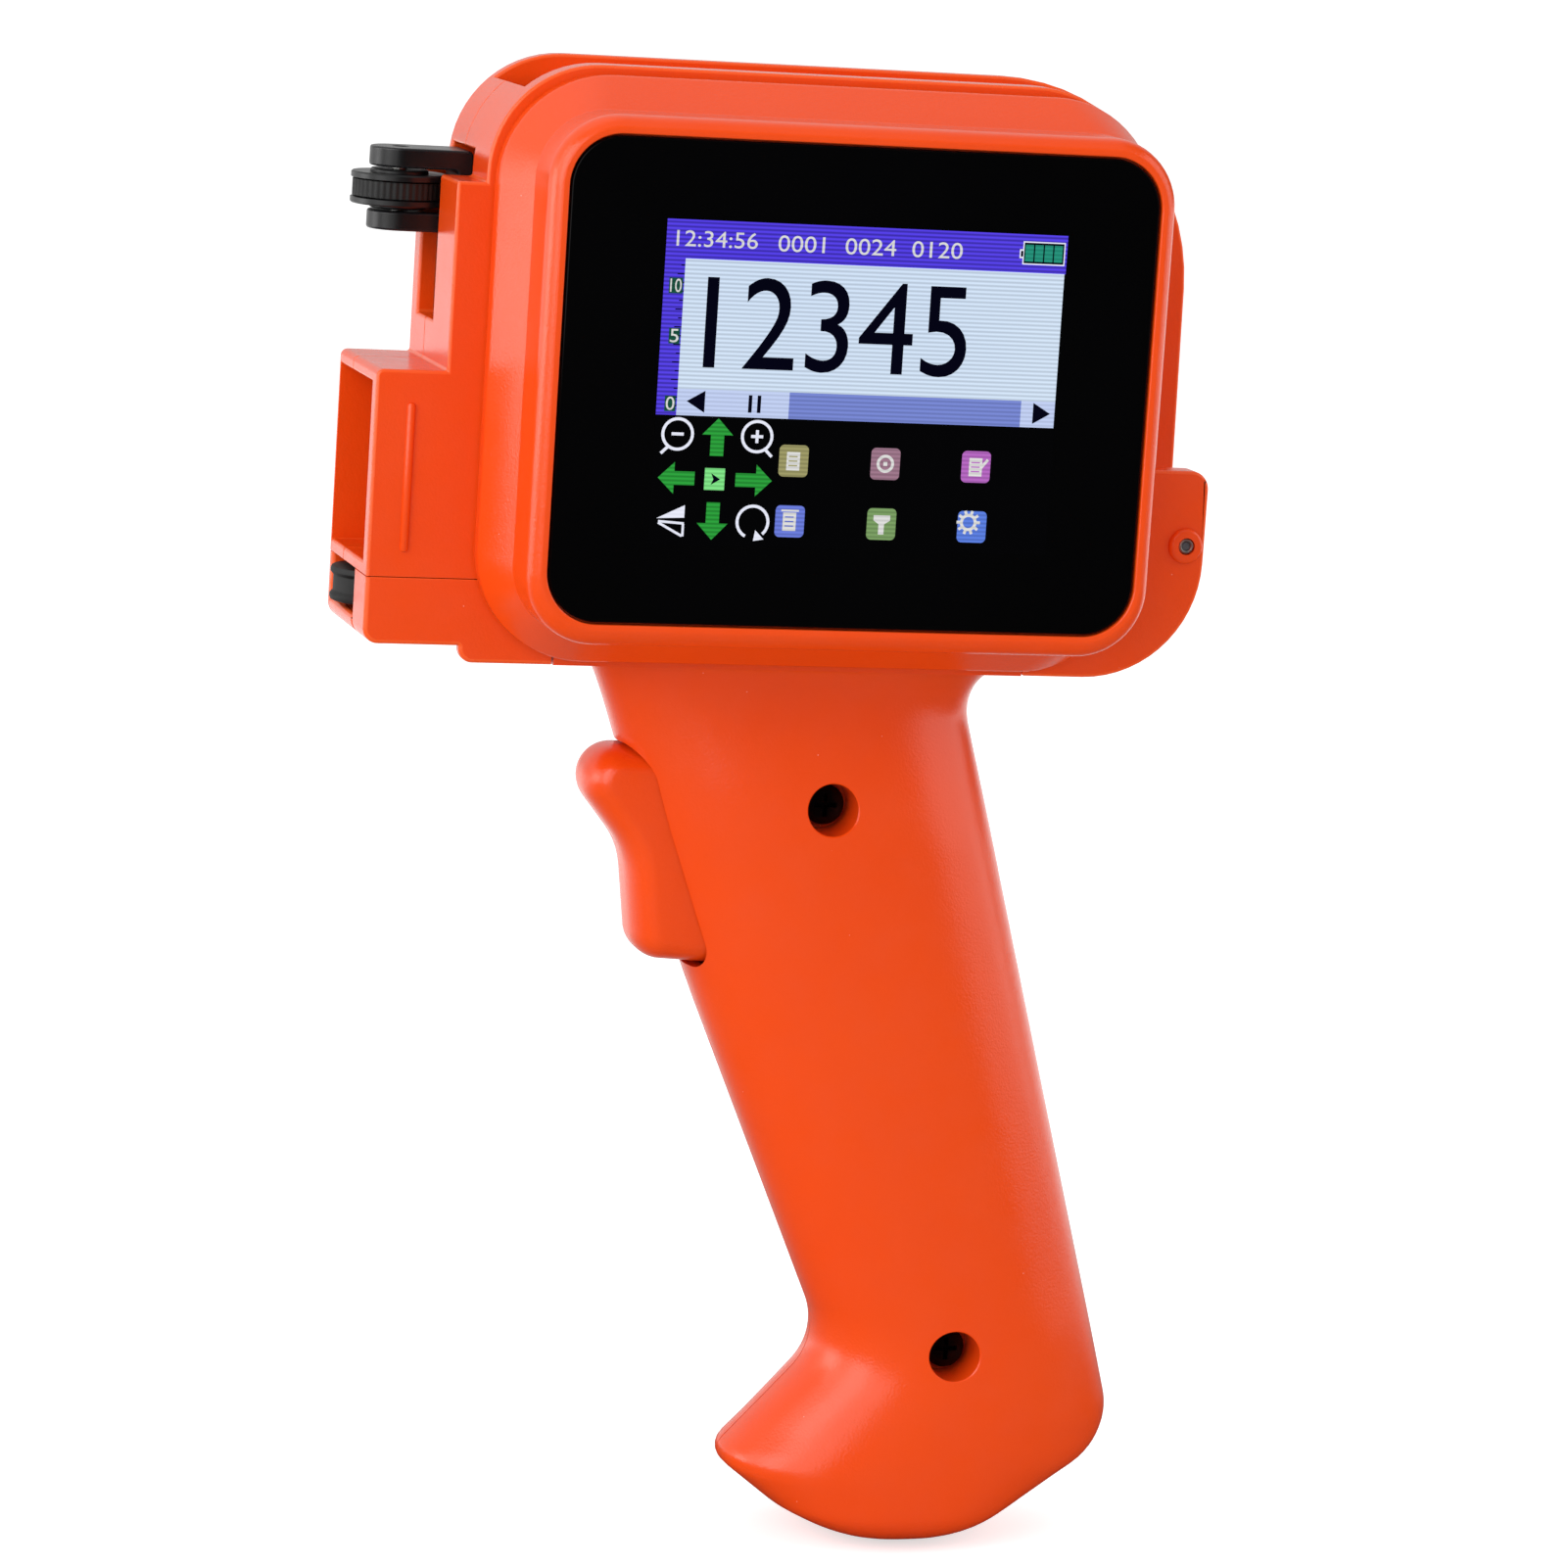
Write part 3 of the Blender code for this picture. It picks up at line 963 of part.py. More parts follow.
def grip():
    """Both grip halves with their saddle, screw bosses, bores, trigger slot and trigger pin seats."""
    lowest = grip_bottom()
    levels = grip_levels(lowest + FIT)
    outer = [grip_ring(level, 0.0, level) for level in levels]
    outer.insert(0, grip_ring(HEAD_BOTTOM, 0.0, HEAD_BOTTOM + ROOT))
    inner_levels = grip_levels(lowest + 3 * GRIP_WALL)
    inner = [grip_ring(level, GRIP_WALL, level) for level in inner_levels[::2]]
    inner.insert(0, grip_ring(HEAD_BOTTOM, GRIP_WALL, SADDLE_TOP + PAST))
    hollow = lofted("grip_hollow", inner)
    slot = extruded("trigger_slot", arc_corners(box_corners(
        GRIP_MID - TRIGGER_HALF_WIDTH - FIT, GRIP_MID + TRIGGER_HALF_WIDTH + FIT,
        TRIGGER_BOTTOM - TRIGGER_END_GAP, TRIGGER_TOP + FIT, TRIGGER_SLOT_ROUND)),
        TRIGGER_KNOB_X - PAST, TRIGGER_HEEL_X, along="X")
    halves = {}
    spans = {
        "front": (HEAD_FRONT, GRIP_MID - FIT / 2, GRIP_MID - GRIP_HALF_DEPTH - PAST, GRIP_MID - FIT / 2),
        "back": (GRIP_MID + FIT / 2, HEAD_BACK, GRIP_MID + FIT / 2, GRIP_MID + GRIP_HALF_DEPTH + PAST),
    }
    for side, (saddle_front, saddle_back, near, far) in spans.items():
        half = lofted(f"grip_{side}_half", outer, ORANGE_ABS)
        keep = block(f"{side}_side", (HOOK_TIP_X - BUTT_ROUND * 2, near, lowest - PAST),
                     (HEEL_X + PAST, far, SADDLE_TOP))
        combine(half, "INTERSECT", [keep])
        join(half, block(f"{side}_saddle", (SADDLE_LEFT, saddle_front, HEAD_BOTTOM),
                         (SADDLE_RIGHT, saddle_back, SADDLE_TOP)))
        cut(half, hollow, slot)
        halves[side] = half
    pin_reach = TRIGGER_HALF_WIDTH + FIT + TRIGGER_PIN_SEAT
    for side, sign in (("front", -1), ("back", 1)):
        inner_face = GRIP_MID + sign * (TRIGGER_HALF_WIDTH + 2 * FIT)
        outer_face = GRIP_MID + sign * (pin_reach + ROOT)
        join(halves[side], rod(f"{side}_pin_boss", TRIGGER_PIN_BOSS,
                               (TRIGGER_PIVOT_X, inner_face, TRIGGER_PIVOT_Z),
                               (TRIGGER_PIVOT_X, outer_face, TRIGGER_PIVOT_Z), sides=16))
    pin_hole = rod("trigger_pin_hole", TRIGGER_PIN_RADIUS + FIT,
                   (TRIGGER_PIVOT_X, GRIP_MID - pin_reach - FIT, TRIGGER_PIVOT_Z),
                   (TRIGGER_PIVOT_X, GRIP_MID + pin_reach + FIT, TRIGGER_PIVOT_Z), sides=16)
    cut(halves["front"], pin_hole)
    cut(halves["back"], pin_hole)
    rod("trigger_pin", TRIGGER_PIN_RADIUS, (TRIGGER_PIVOT_X, GRIP_MID - pin_reach, TRIGGER_PIVOT_Z),
        (TRIGGER_PIVOT_X, GRIP_MID + pin_reach, TRIGGER_PIVOT_Z), BRIGHT_STEEL, sides=16)
    grip_fasteners(halves["front"], halves["back"])
    return halves


def grip_fasteners(front, back):
    """Screw bosses in both halves, the deep bores in front and the screws at their floors."""
    for name, (x, z) in GRIP_SCREWS.items():
        skin = GRIP_MID - grip_half_depth(z)
        head_face = GRIP_BORE_FLOOR - FIT - GRIP_SCREW_HEAD_HEIGHT
        tip = GRIP_BORE_FLOOR - FIT + GRIP_SCREW_LENGTH
        join(front, rod(f"{name}_boss", GRIP_BOSS_RADIUS, (x, skin + GRIP_WALL - ROOT, z),
                        (x, GRIP_MID - FIT / 2, z)))
        join(back, rod(f"{name}_nut_boss", GRIP_NUT_BOSS_RADIUS, (x, GRIP_MID + FIT / 2, z),
                       (x, GRIP_MID + grip_half_depth(z) - GRIP_WALL + ROOT, z)))
        hole = rod(f"{name}_hole", GRIP_SCREW_SHANK + FIT, (x, skin - PAST, z), (x, tip + FIT, z),
                   sides=16)
        bore = rod(f"{name}_bore", GRIP_BORE_RADIUS, (x, skin - PAST, z), (x, GRIP_BORE_FLOOR, z))
        cut(front, bore, hole)
        cut(back, hole)
        screw(f"grip_screw_{name}", x, z, head_face, GRIP_SCREW_HEAD, GRIP_SCREW_HEAD_HEIGHT,
              GRIP_SCREW_SHANK, GRIP_SCREW_LENGTH, 1)


def trigger():
    """Finger trigger with rounded ends, bored for its pin."""
    outline = arc_corners([
        (TRIGGER_PUSH_X, TRIGGER_TOP, FIT),
        (TRIGGER_KNOB_X, TRIGGER_TOP, TRIGGER_KNOB_ROUND),
        (TRIGGER_FINGER_X, TRIGGER_FINGER_Z, TRIGGER_FINGER_ROUND),
        (TRIGGER_TOE_X, TRIGGER_BOTTOM, TRIGGER_TOE_ROUND),
        (TRIGGER_HEEL_X, TRIGGER_BOTTOM, FIT),
        (TRIGGER_HEEL_X, TRIGGER_STEP_Z, FIT),
        (TRIGGER_PUSH_X, TRIGGER_STEP_Z, 0.0),
    ])
    pivot = (TRIGGER_PIVOT_X, GRIP_MID, TRIGGER_PIVOT_Z)
    lever = extruded("trigger", outline, GRIP_MID - TRIGGER_HALF_WIDTH, GRIP_MID + TRIGGER_HALF_WIDTH,
                     ORANGE_ABS, origin=pivot)
    rounded = extruded("trigger_ends", arc_corners(box_corners(
        GRIP_MID - TRIGGER_HALF_WIDTH - FIT, GRIP_MID + TRIGGER_HALF_WIDTH + FIT, TRIGGER_BOTTOM - FIT,
        TRIGGER_TOP + FIT, TRIGGER_END_ROUND)), TRIGGER_KNOB_X - PAST, TRIGGER_HEEL_X + PAST, along="X")
    edges = lever.modifiers.new("finger_edges", "BEVEL")
    edges.width = TRIGGER_EDGE_ROUND
    edges.segments = 2
    edges.limit_method = "ANGLE"
    edges.angle_limit = math.radians(50)
    combine(lever, "INTERSECT", [rounded])
    cut(lever, rod("trigger_bore", TRIGGER_PIN_RADIUS + FIT,
                   (TRIGGER_PIVOT_X, GRIP_MID - TRIGGER_HALF_WIDTH - PAST, TRIGGER_PIVOT_Z),
                   (TRIGGER_PIVOT_X, GRIP_MID + TRIGGER_HALF_WIDTH + PAST, TRIGGER_PIVOT_Z), sides=16))


def grip_insides(back):
    """Trigger switch on its pedestal, its plunger and the battery cell."""
    left = TRIGGER_PUSH_X + FIT + PLUNGER_REACH
    right = left + SWITCH_DEPTH
    low = SWITCH_Z - SWITCH_HEIGHT / 2
    high = SWITCH_Z + SWITCH_HEIGHT / 2
    body = block("trigger_switch", (left, GRIP_MID - SWITCH_WIDTH / 2, low),
                 (right, GRIP_MID + SWITCH_WIDTH / 2, high), BLACK_PLASTIC)
    cut(body, rod("plunger_hole", PLUNGER_RADIUS + FIT, (left - PAST, GRIP_MID, PLUNGER_Z),
                  (left + PLUNGER_REACH + PLUNGER_SEAT, GRIP_MID, PLUNGER_Z), sides=16))
    tip = (TRIGGER_PUSH_X + FIT, GRIP_MID, PLUNGER_Z)
    rod("switch_plunger", PLUNGER_RADIUS, tip, (left + PLUNGER_SEAT, GRIP_MID, PLUNGER_Z), GREY_PLASTIC,
        sides=16, origin=tip)
    seat = GRIP_MID + SWITCH_WIDTH / 2 + FIT
    wall = GRIP_MID + grip_half_depth(SWITCH_Z) - GRIP_WALL
    join(back, block("switch_pedestal", (left + SWITCH_DEPTH / 2, seat, low + SWITCH_DEPTH / 2),
                     (right, wall + ROOT, high - SWITCH_DEPTH / 2)))
    centre_y = GRIP_MID + GRIP_HALF_DEPTH - GRIP_WALL - CELL_BACK_GAP - CELL_RADIUS
    top = (CELL_TOP_X, centre_y, CELL_TOP_Z)
    foot = (CELL_TOP_X + CELL_LENGTH * math.sin(CELL_LEAN), centre_y,
            CELL_TOP_Z - CELL_LENGTH * math.cos(CELL_LEAN))
    rod("battery_cell", CELL_RADIUS, top, foot, BLUE_SLEEVE, sides=32)


def place_datum():
    """Stand the printer on Z = 0 with its box centred over the origin."""
    left = WHEEL_X - TYRE_RADIUS
    left = min(left, ROLLER_X - ROLLER_RADIUS)
    right = max(point[0] for point in back_outline())
    front = -RIM_PROUD
    back = GRIP_MID + GRIP_HALF_DEPTH
    datum.location = (-(left + right) / 2, -(front + back) / 2, -grip_bottom() - FIT)


def main():
    """Build the printer."""
    front_housing()
    touch_screen()
    side_controls()
    head_shells()
    hinge_and_door()
    nose_foot()
    encoder()
    halves = grip()
    trigger()
    grip_insides(halves["back"])
    place_datum()


main()
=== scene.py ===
"""Looks of a handheld date code printer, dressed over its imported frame.

Sizes are in millimetres in design axes: X to the right along the screen, Y back from the face of the
glass, Z up, all from the centre of the glass. One matrix takes every shape into the frame.
"""
import logging
import math
from collections.abc import Iterable, Mapping, Sequence
from dataclasses import dataclass, field
from enum import Enum
from functools import cache
from typing import Any

import bmesh
import bpy
from mathutils import Matrix, Vector


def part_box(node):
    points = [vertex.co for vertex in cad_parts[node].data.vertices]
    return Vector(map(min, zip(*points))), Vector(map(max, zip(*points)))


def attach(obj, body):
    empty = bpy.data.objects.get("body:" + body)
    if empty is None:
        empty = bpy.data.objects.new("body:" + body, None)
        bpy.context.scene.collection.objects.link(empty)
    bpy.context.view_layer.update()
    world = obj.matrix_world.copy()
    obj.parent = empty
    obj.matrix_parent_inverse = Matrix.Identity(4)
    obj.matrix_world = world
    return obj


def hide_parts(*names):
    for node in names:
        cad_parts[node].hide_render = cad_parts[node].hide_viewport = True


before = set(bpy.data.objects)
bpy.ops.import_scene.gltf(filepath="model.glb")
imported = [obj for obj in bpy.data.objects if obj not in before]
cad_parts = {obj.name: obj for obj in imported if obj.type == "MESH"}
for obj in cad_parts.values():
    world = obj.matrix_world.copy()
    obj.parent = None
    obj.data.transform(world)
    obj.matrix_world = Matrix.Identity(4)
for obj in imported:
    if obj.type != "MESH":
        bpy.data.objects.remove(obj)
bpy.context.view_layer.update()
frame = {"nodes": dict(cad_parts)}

LOG = logging.getLogger("printer")
MM = 0.001
ARC_STEP = math.radians(6)
SHARP = math.radians(35)
WELD = 0.002

Shape = bmesh.types.BMesh
Thing = bpy.types.Object
Tree = bpy.types.NodeTree
Node = bpy.types.Node
Socket = bpy.types.NodeSocket
Flat = tuple[float, float]
Corner = tuple[float, float, float]
Place = tuple[float, float, float]
Ring = list[Vector]


class Body(Enum):
    """Moving bodies of the frame."""

    PRINTER = "printer_body"
    DOOR = "door"
    ROLLER = "guide_roller"
    ARM = "encoder_arm"
    WHEEL = "encoder_wheel_set"
    TRIGGER = "finger_trigger"
    BUTTON = "button"


class Slot(Enum):
    """Material slots of the frame's record."""

    ORANGE = "orange_abs"
    BLACK = "black_plastic"
    RUBBER = "black_rubber"
    GLASS = "cover_glass"
    GREY = "grey_plastic"
    LAMINATE = "green_laminate"
    STEEL = "bright_steel"
    DARK_STEEL = "black_steel"
    SLEEVE = "blue_sleeve"


class Along(Enum):
    """Axis that a flat outline is extruded or turned along."""

    X = 0
    Y = 1
    Z = 2

    def point(self, across: float, up: float, depth: float) -> Vector:
        """Place a flat point at a depth along this axis.

        Args:
            across: First coordinate of the outline.
            up: Second coordinate of the outline.
            depth: Coordinate along the axis.

        Returns:
            The point in design axes.
        """
        if self is Along.X:
            return Vector((depth, across, up))
        if self is Along.Y:
            return Vector((across, depth, up))
        return Vector((across, up, depth))

    def ring(self, points: Iterable[Flat], depth: float) -> Ring:
        """Place a flat outline at a depth along this axis."""
        return [self.point(across, up, depth) for across, up in points]


def glass_datum() -> Vector:
    """Find the centre of the glass's face, the design origin, in the frame."""
    low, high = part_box("touch_glass")
    return Vector(((low.x + high.x) / 2, low.y, (low.z + high.z) / 2))


TO_FRAME = Matrix.Translation(glass_datum()) @ Matrix.Scale(MM, 4)


def linear(colour: str) -> tuple[float, float, float, float]:
    """Turn an sRGB hex colour into linear RGBA.

    Args:
        colour: Six hex digits after a hash sign.

    Returns:
        Linear red, green, blue and full alpha.
    """
    channels = (int(colour[index:index + 2], 16) / 255 for index in (1, 3, 5))
    red, green, blue = (c / 12.92 if c <= 0.04045 else ((c + 0.055) / 1.055) ** 2.4 for c in channels)
    return red, green, blue, 1.0


def add_node(tree: Tree, kind: str, settings: Mapping[Any, Any] | None = None,
             links: Mapping[Any, Socket] | None = None) -> Node:
    """Add a shader node with its settings and its incoming links.

    Args:
        tree: Node tree that takes the node.
        kind: Blender's name of the node's type.
        settings: Values by input socket (name or index) or by node property.
        links: Output sockets by the input socket (name or index) that they feed.

    Returns:
        The new node.
    """
    made = tree.nodes.new(kind)
    for key, value in (settings or {}).items():
        if isinstance(key, str) and hasattr(made, key):
            setattr(made, key, value)
        else:
            made.inputs[key].default_value = value
    for key, source in (links or {}).items():
        tree.links.new(source, made.inputs[key])
    return made


def per_metre(size_mm: float) -> float:
    """Give the texture scale for a pattern of a real size."""
    return 1 / (size_mm * MM)


@dataclass(frozen=True)
class Finish:
    """A finish with a mottled colour, a surface grain and an uneven gloss."""

    name: str
    colour: str
    second: str
    roughness: float
    gloss_spread: float = 0.06
    mottle_mm: float = 18.0
    grain_mm: float = 0.35
    grain_height_mm: float = 0.012
    grain_strength: float = 0.25
    metallic: float = 0.0
    ior: float = 1.5
    specular: float = 0.5
    streak: Place = (1.0, 1.0, 1.0)
    dust: float = 0.0
    lint_colour: str = "#FFC4AC"
    lint_mm: float = 5.0
    lint_edge: Flat = (0.014, 0.02)

    def tint(self, tree: Tree, where: Socket) -> Socket:
        """Vary the colour slowly over the surface, with specks of dust where there are any.

        Args:
            tree: Node tree of the material.
            where: Output socket with the surface's coordinates.

        Returns:
            Output socket with the colour.
        """
        cloud = add_node(tree, "ShaderNodeTexNoise", {"Scale": per_metre(self.mottle_mm), "Detail": 4.0},
                         {"Vector": where})
        mixed = add_node(tree, "ShaderNodeMix", {"data_type": "RGBA", 6: linear(self.colour),
                                                 7: linear(self.second)}, {0: cloud.outputs[0]})
        if not self.dust:
            return mixed.outputs[2]
        cells = add_node(tree, "ShaderNodeTexVoronoi", {"Scale": per_metre(self.lint_mm)}, {"Vector": where})
        inside, outside = self.lint_edge
        lint = add_node(tree, "ShaderNodeMapRange", {"From Min": inside, "From Max": outside,
                                                     "To Min": self.dust, "To Max": 0.0},
                        {"Value": cells.outputs["Distance"]})
        dusty = add_node(tree, "ShaderNodeMix", {"data_type": "RGBA", 7: linear(self.lint_colour)},
                         {0: lint.outputs[0], 6: mixed.outputs[2]})
        return dusty.outputs[2]

    def shader(self, tree: Tree) -> Node:
        """Build the principled shader with its colour, gloss and grain.

        Args:
            tree: Node tree of the material.

        Returns:
            The shader node.
        """
        place = add_node(tree, "ShaderNodeTexCoord")
        where = add_node(tree, "ShaderNodeMapping", {"Scale": self.streak},
                         {"Vector": place.outputs["Object"]}).outputs[0]
        grain = add_node(tree, "ShaderNodeTexNoise", {"Scale": per_metre(self.grain_mm), "Detail": 2.0},
                         {"Vector": where})
        wipe = add_node(tree, "ShaderNodeTexNoise", {"Scale": per_metre(self.mottle_mm / 3), "Detail": 5.0},
                        {"Vector": where})
        gloss = add_node(tree, "ShaderNodeMapRange", {"From Min": 0.3, "From Max": 0.7,
                                                      "To Min": self.roughness - self.gloss_spread,
                                                      "To Max": self.roughness + self.gloss_spread},
                         {"Value": wipe.outputs[0]})
        bump = add_node(tree, "ShaderNodeBump", {"Strength": self.grain_strength,
                                                 "Distance": self.grain_height_mm * MM},
                        {"Height": grain.outputs[0]})
        return add_node(tree, "ShaderNodeBsdfPrincipled",
                        {"Metallic": self.metallic, "IOR": self.ior, "Specular IOR Level": self.specular},
                        {"Base Color": self.tint(tree, where), "Roughness": gloss.outputs[0],
                         "Normal": bump.outputs[0]})

    @cache
    def material(self) -> bpy.types.Material:
        """Make the material once.

        Returns:
            The material named for this finish.
        """
        made = bpy.data.materials.new(self.name)
        made.use_nodes = True
        tree = made.node_tree
        tree.nodes.clear()
        add_node(tree, "ShaderNodeOutputMaterial", links={"Surface": self.shader(tree).outputs[0]})
        return made


@dataclass(frozen=True)
class LitPanel(Finish):
    """Light from display pixels, seen through the glass as fine dark lines between their rows."""

    # The rows of the real panel are 0.18 mm apart; they are drawn coarser so that they show from a step away
    row_mm: float = 0.58
    line_depth: float = 0.3

    def shader(self, tree: Tree) -> Node:
        """Build the glossy black shader with its lit rows.

        Args:
            tree: Node tree of the material.

        Returns:
            The shader node.
        """
        place = add_node(tree, "ShaderNodeTexCoord").outputs["Object"]
        waves_per_unit = 20 / math.tau
        rows = add_node(tree, "ShaderNodeTexWave", {"bands_direction": "Z",
                                                    "Scale": per_metre(self.row_mm) / waves_per_unit},
                        {"Vector": place})
        dim = add_node(tree, "ShaderNodeMapRange", {"To Min": self.line_depth, "To Max": 0.0},
                       {"Value": rows.outputs["Fac"]})
        drift = add_node(tree, "ShaderNodeTexNoise", {"Scale": per_metre(self.mottle_mm)}, {"Vector": place})
        base = add_node(tree, "ShaderNodeMix", {"data_type": "RGBA", 6: linear(self.colour),
                                                7: linear(self.second)}, {0: drift.outputs[0]})
        lit = add_node(tree, "ShaderNodeMix", {"data_type": "RGBA", 7: linear("#000000")},
                       {0: dim.outputs[0], 6: base.outputs[2]})
        return add_node(tree, "ShaderNodeBsdfPrincipled",
                        {"Base Color": linear("#000000"), "Roughness": self.roughness, "IOR": self.ior,
                         "Specular IOR Level": self.specular, "Emission Strength": 1.0},
                        {"Emission Color": lit.outputs[2]})


# Injection-moulded ABS, spark-textured tool: saturated orange, a satin sheen, very fine grain, some lint
ORANGE_ABS = Finish("moulded_orange_abs", "#F24E0E", "#EE480C", 0.22, gloss_spread=0.03, grain_height_mm=0.05,
                    grain_strength=0.7, ior=1.54, dust=0.55)
# The same ABS on the rounded edges: a little paler and shinier, partly wear from handling and partly a
# painted highlight along the edges
ORANGE_EDGE_WEAR_AND_HIGHLIGHT = Finish("orange_abs_edge_wear_and_painted_highlight", "#F85E22", "#F65618", 0.24, ior=1.54)
# Moulded glass-filled nylon: near black, satin, with a faint grey bloom
BLACK_NYLON = Finish("moulded_black_nylon", "#0C0C0D", "#141416", 0.34, grain_mm=0.3, ior=1.53)
# The same nylon on the rounded edges: greyer and shinier, partly wear from handling and partly a painted
# highlight along the edges
NYLON_EDGE_WEAR_AND_HIGHLIGHT = Finish("black_nylon_edge_wear_and_painted_highlight", "#1A1A1C", "#222225", 0.28, ior=1.53)
# Moulded nitrile rubber: matt black with a dry, dusty grain
RUBBER = Finish("moulded_nitrile_rubber", "#0B0B0B", "#1A1918", 0.62, grain_mm=0.25, grain_strength=0.5,
                ior=1.52)
# Back-printed cover glass with an anti-reflective coating: deep black, clear gloss, faint finger film
COVER_GLASS = Finish("coated_cover_glass", "#030303", "#050506", 0.07, gloss_spread=0.03, mottle_mm=30.0,
                     grain_strength=0.0, ior=1.52, specular=0.1)
# Cold-drawn stainless steel: bright, with fine lines along the pin
DRAWN_STEEL = Finish("drawn_stainless_steel", "#E2E2DE", "#D0D0CC", 0.45, grain_mm=0.12, metallic=1.0,
                     streak=(1.0, 0.06, 1.0))
# Steel blackened by hot oxide: dark satin with slight blue and brown patches
BLACK_OXIDE = Finish("black_oxide_steel", "#1C1C1E", "#2A2826", 0.34, grain_mm=0.2, metallic=1.0)
# Phosphated steel: dull mid grey, dry to the eye
PHOSPHATED_STEEL = Finish("phosphated_steel", "#58585C", "#4C4C50", 0.5, grain_mm=0.2)
# Gold-flashed copper pads: warm bright metal
GOLD_FLASH = Finish("gold_flashed_copper", "#E8C070", "#D8A850", 0.22, grain_mm=0.15, metallic=1.0)
# Moulded grey polycarbonate of the display's frame: even satin
GREY_PC = Finish("moulded_grey_polycarbonate", "#7E8084", "#74767A", 0.45, ior=1.58)
# Glass-epoxy laminate under green solder resist: weave just visible as fine mottling
SOLDER_RESIST = Finish("solder_resist_laminate", "#0F6A38", "#0B5A2E", 0.38, mottle_mm=1.2, grain_mm=0.4)
# Heat-shrunk PVC sleeve: blue, smooth and slightly glossy
SHRINK_SLEEVE = Finish("shrunk_pvc_sleeve", "#1E58A8", "#1A4E98", 0.3, ior=1.53)


def panel(name: str, colour: str, second: str | None = None, depth: float = 0.3) -> LitPanel:
    """Make a lit colour of the display that drifts to a second one, with dark lines of some depth."""
    return LitPanel(f"lit_display_{name}", colour, second or colour, 0.07, ior=1.52, specular=0.1,
                    mottle_mm=40.0, line_depth=depth)


SLOT_FINISHES = {
    Slot.ORANGE: ORANGE_ABS, Slot.BLACK: BLACK_NYLON, Slot.RUBBER: RUBBER, Slot.GLASS: COVER_GLASS,
    Slot.GREY: GREY_PC, Slot.LAMINATE: SOLDER_RESIST, Slot.STEEL: DRAWN_STEEL,
    Slot.DARK_STEEL: BLACK_OXIDE, Slot.SLEEVE: SHRINK_SLEEVE,
}
# Finishes for the rounded edges: wear and a painted highlight along the edges in one colour
EDGE_WEAR_AND_HIGHLIGHT_FINISHES = {ORANGE_ABS: ORANGE_EDGE_WEAR_AND_HIGHLIGHT, BLACK_NYLON: NYLON_EDGE_WEAR_AND_HIGHLIGHT}


def rounded(corners: Sequence[Corner], step: float = ARC_STEP) -> list[Flat]:
    """Round the corners of a closed outline.

    Args:
        corners: Corners as (across, up, radius).
        step: Angle between neighbouring points of an arc.

    Returns:
        Points of the outline.
    """
    points = []
    for index, (across, up, radius) in enumerate(corners):
        corner = Vector((across, up))
        if radius == 0.0:
            points.append((across, up))
            continue
        before = (Vector(corners[index - 1][:2]) - corner).normalized()
        after = (Vector(corners[(index + 1) % len(corners)][:2]) - corner).normalized()
        half = math.acos(before.dot(after)) / 2
        centre = corner + (before + after).normalized() * radius / math.sin(half)
        start = corner + before * radius / math.tan(half) - centre
        end = corner + after * radius / math.tan(half) - centre
        sweep = math.atan2(start.x * end.y - start.y * end.x, start.dot(end))
        count = max(1, round(abs(sweep) / step))
        for turn in range(count + 1):
            points.append(tuple(centre + Matrix.Rotation(sweep * turn / count, 2) @ start))
    return points


def rectangle(left: float, right: float, bottom: float, top: float, radius: float) -> list[Flat]:
    """Draw a rectangle whose corners have one radius."""
    places = ((left, bottom), (right, bottom), (right, top), (left, top))
    return rounded([(across, up, radius) for across, up in places])


def circle(across: float, up: float, radius: float, sides: int = 48) -> list[Flat]:
    """Draw a circle round a centre."""
    turns = (math.tau * index / sides for index in range(sides))
    return [(across + radius * math.cos(turn), up + radius * math.sin(turn)) for turn in turns]


def sweep_angles(degrees: float, steps: int) -> list[float]:
    """List the angles from zero to a number of degrees, in equal steps."""
    return [math.radians(degrees) * step / steps for step in range(steps + 1)]


def round_over(radius: float, steps: int, degrees: float = 90) -> list[Flat]:
    """List how far a round edge lies in from its side and back from its face, from the face on."""
    turns = sweep_angles(degrees, steps)
    return [(radius * (1 - math.sin(turn)), radius * (1 - math.cos(turn))) for turn in turns]


def mirrored(half: Sequence[Flat], low: float, high: float) -> list[Flat]:
    """Complete a profile whose two ends, at low and high, are alike."""
    return [*half, *((radius, low + high - level) for radius, level in reversed(half))]


def loft(rings: Sequence[Sequence[Vector]], endless: bool = False) -> Shape:
    """Skin a stack of rings with equal counts of points.

    Args:
        rings: The rings in order.
        endless: Join the last ring to the first instead of capping both.

    Returns:
        A closed shape.
    """
    shape = bmesh.new()
    rows = [[shape.verts.new(point) for point in ring] for ring in rings]
    pairs = list(zip(rows, rows[1:]))
    if endless:
        pairs.append((rows[-1], rows[0]))
    for lower, upper in pairs:
        for index in range(len(lower)):
            after = (index + 1) % len(lower)
            shape.faces.new((lower[index], lower[after], upper[after], upper[index]))
    if not endless:
        shape.faces.new(rows[0])
        shape.faces.new(rows[-1])
    bmesh.ops.recalc_face_normals(shape, faces=shape.faces)
    return shape


def prism(points: Sequence[Flat], near: float, far: float, along: Along = Along.Y) -> Shape:
    """Extrude a flat outline between two coordinates along an axis."""
    return loft([along.ring(points, depth) for depth in (near, far)])


def cuboid(low: Place, high: Place) -> Shape:
    """Make a box between two corners, for cutting and joining."""
    corners = [(low[0], low[2]), (high[0], low[2]), (high[0], high[2]), (low[0], high[2])]
    return prism(corners, low[1], high[1])


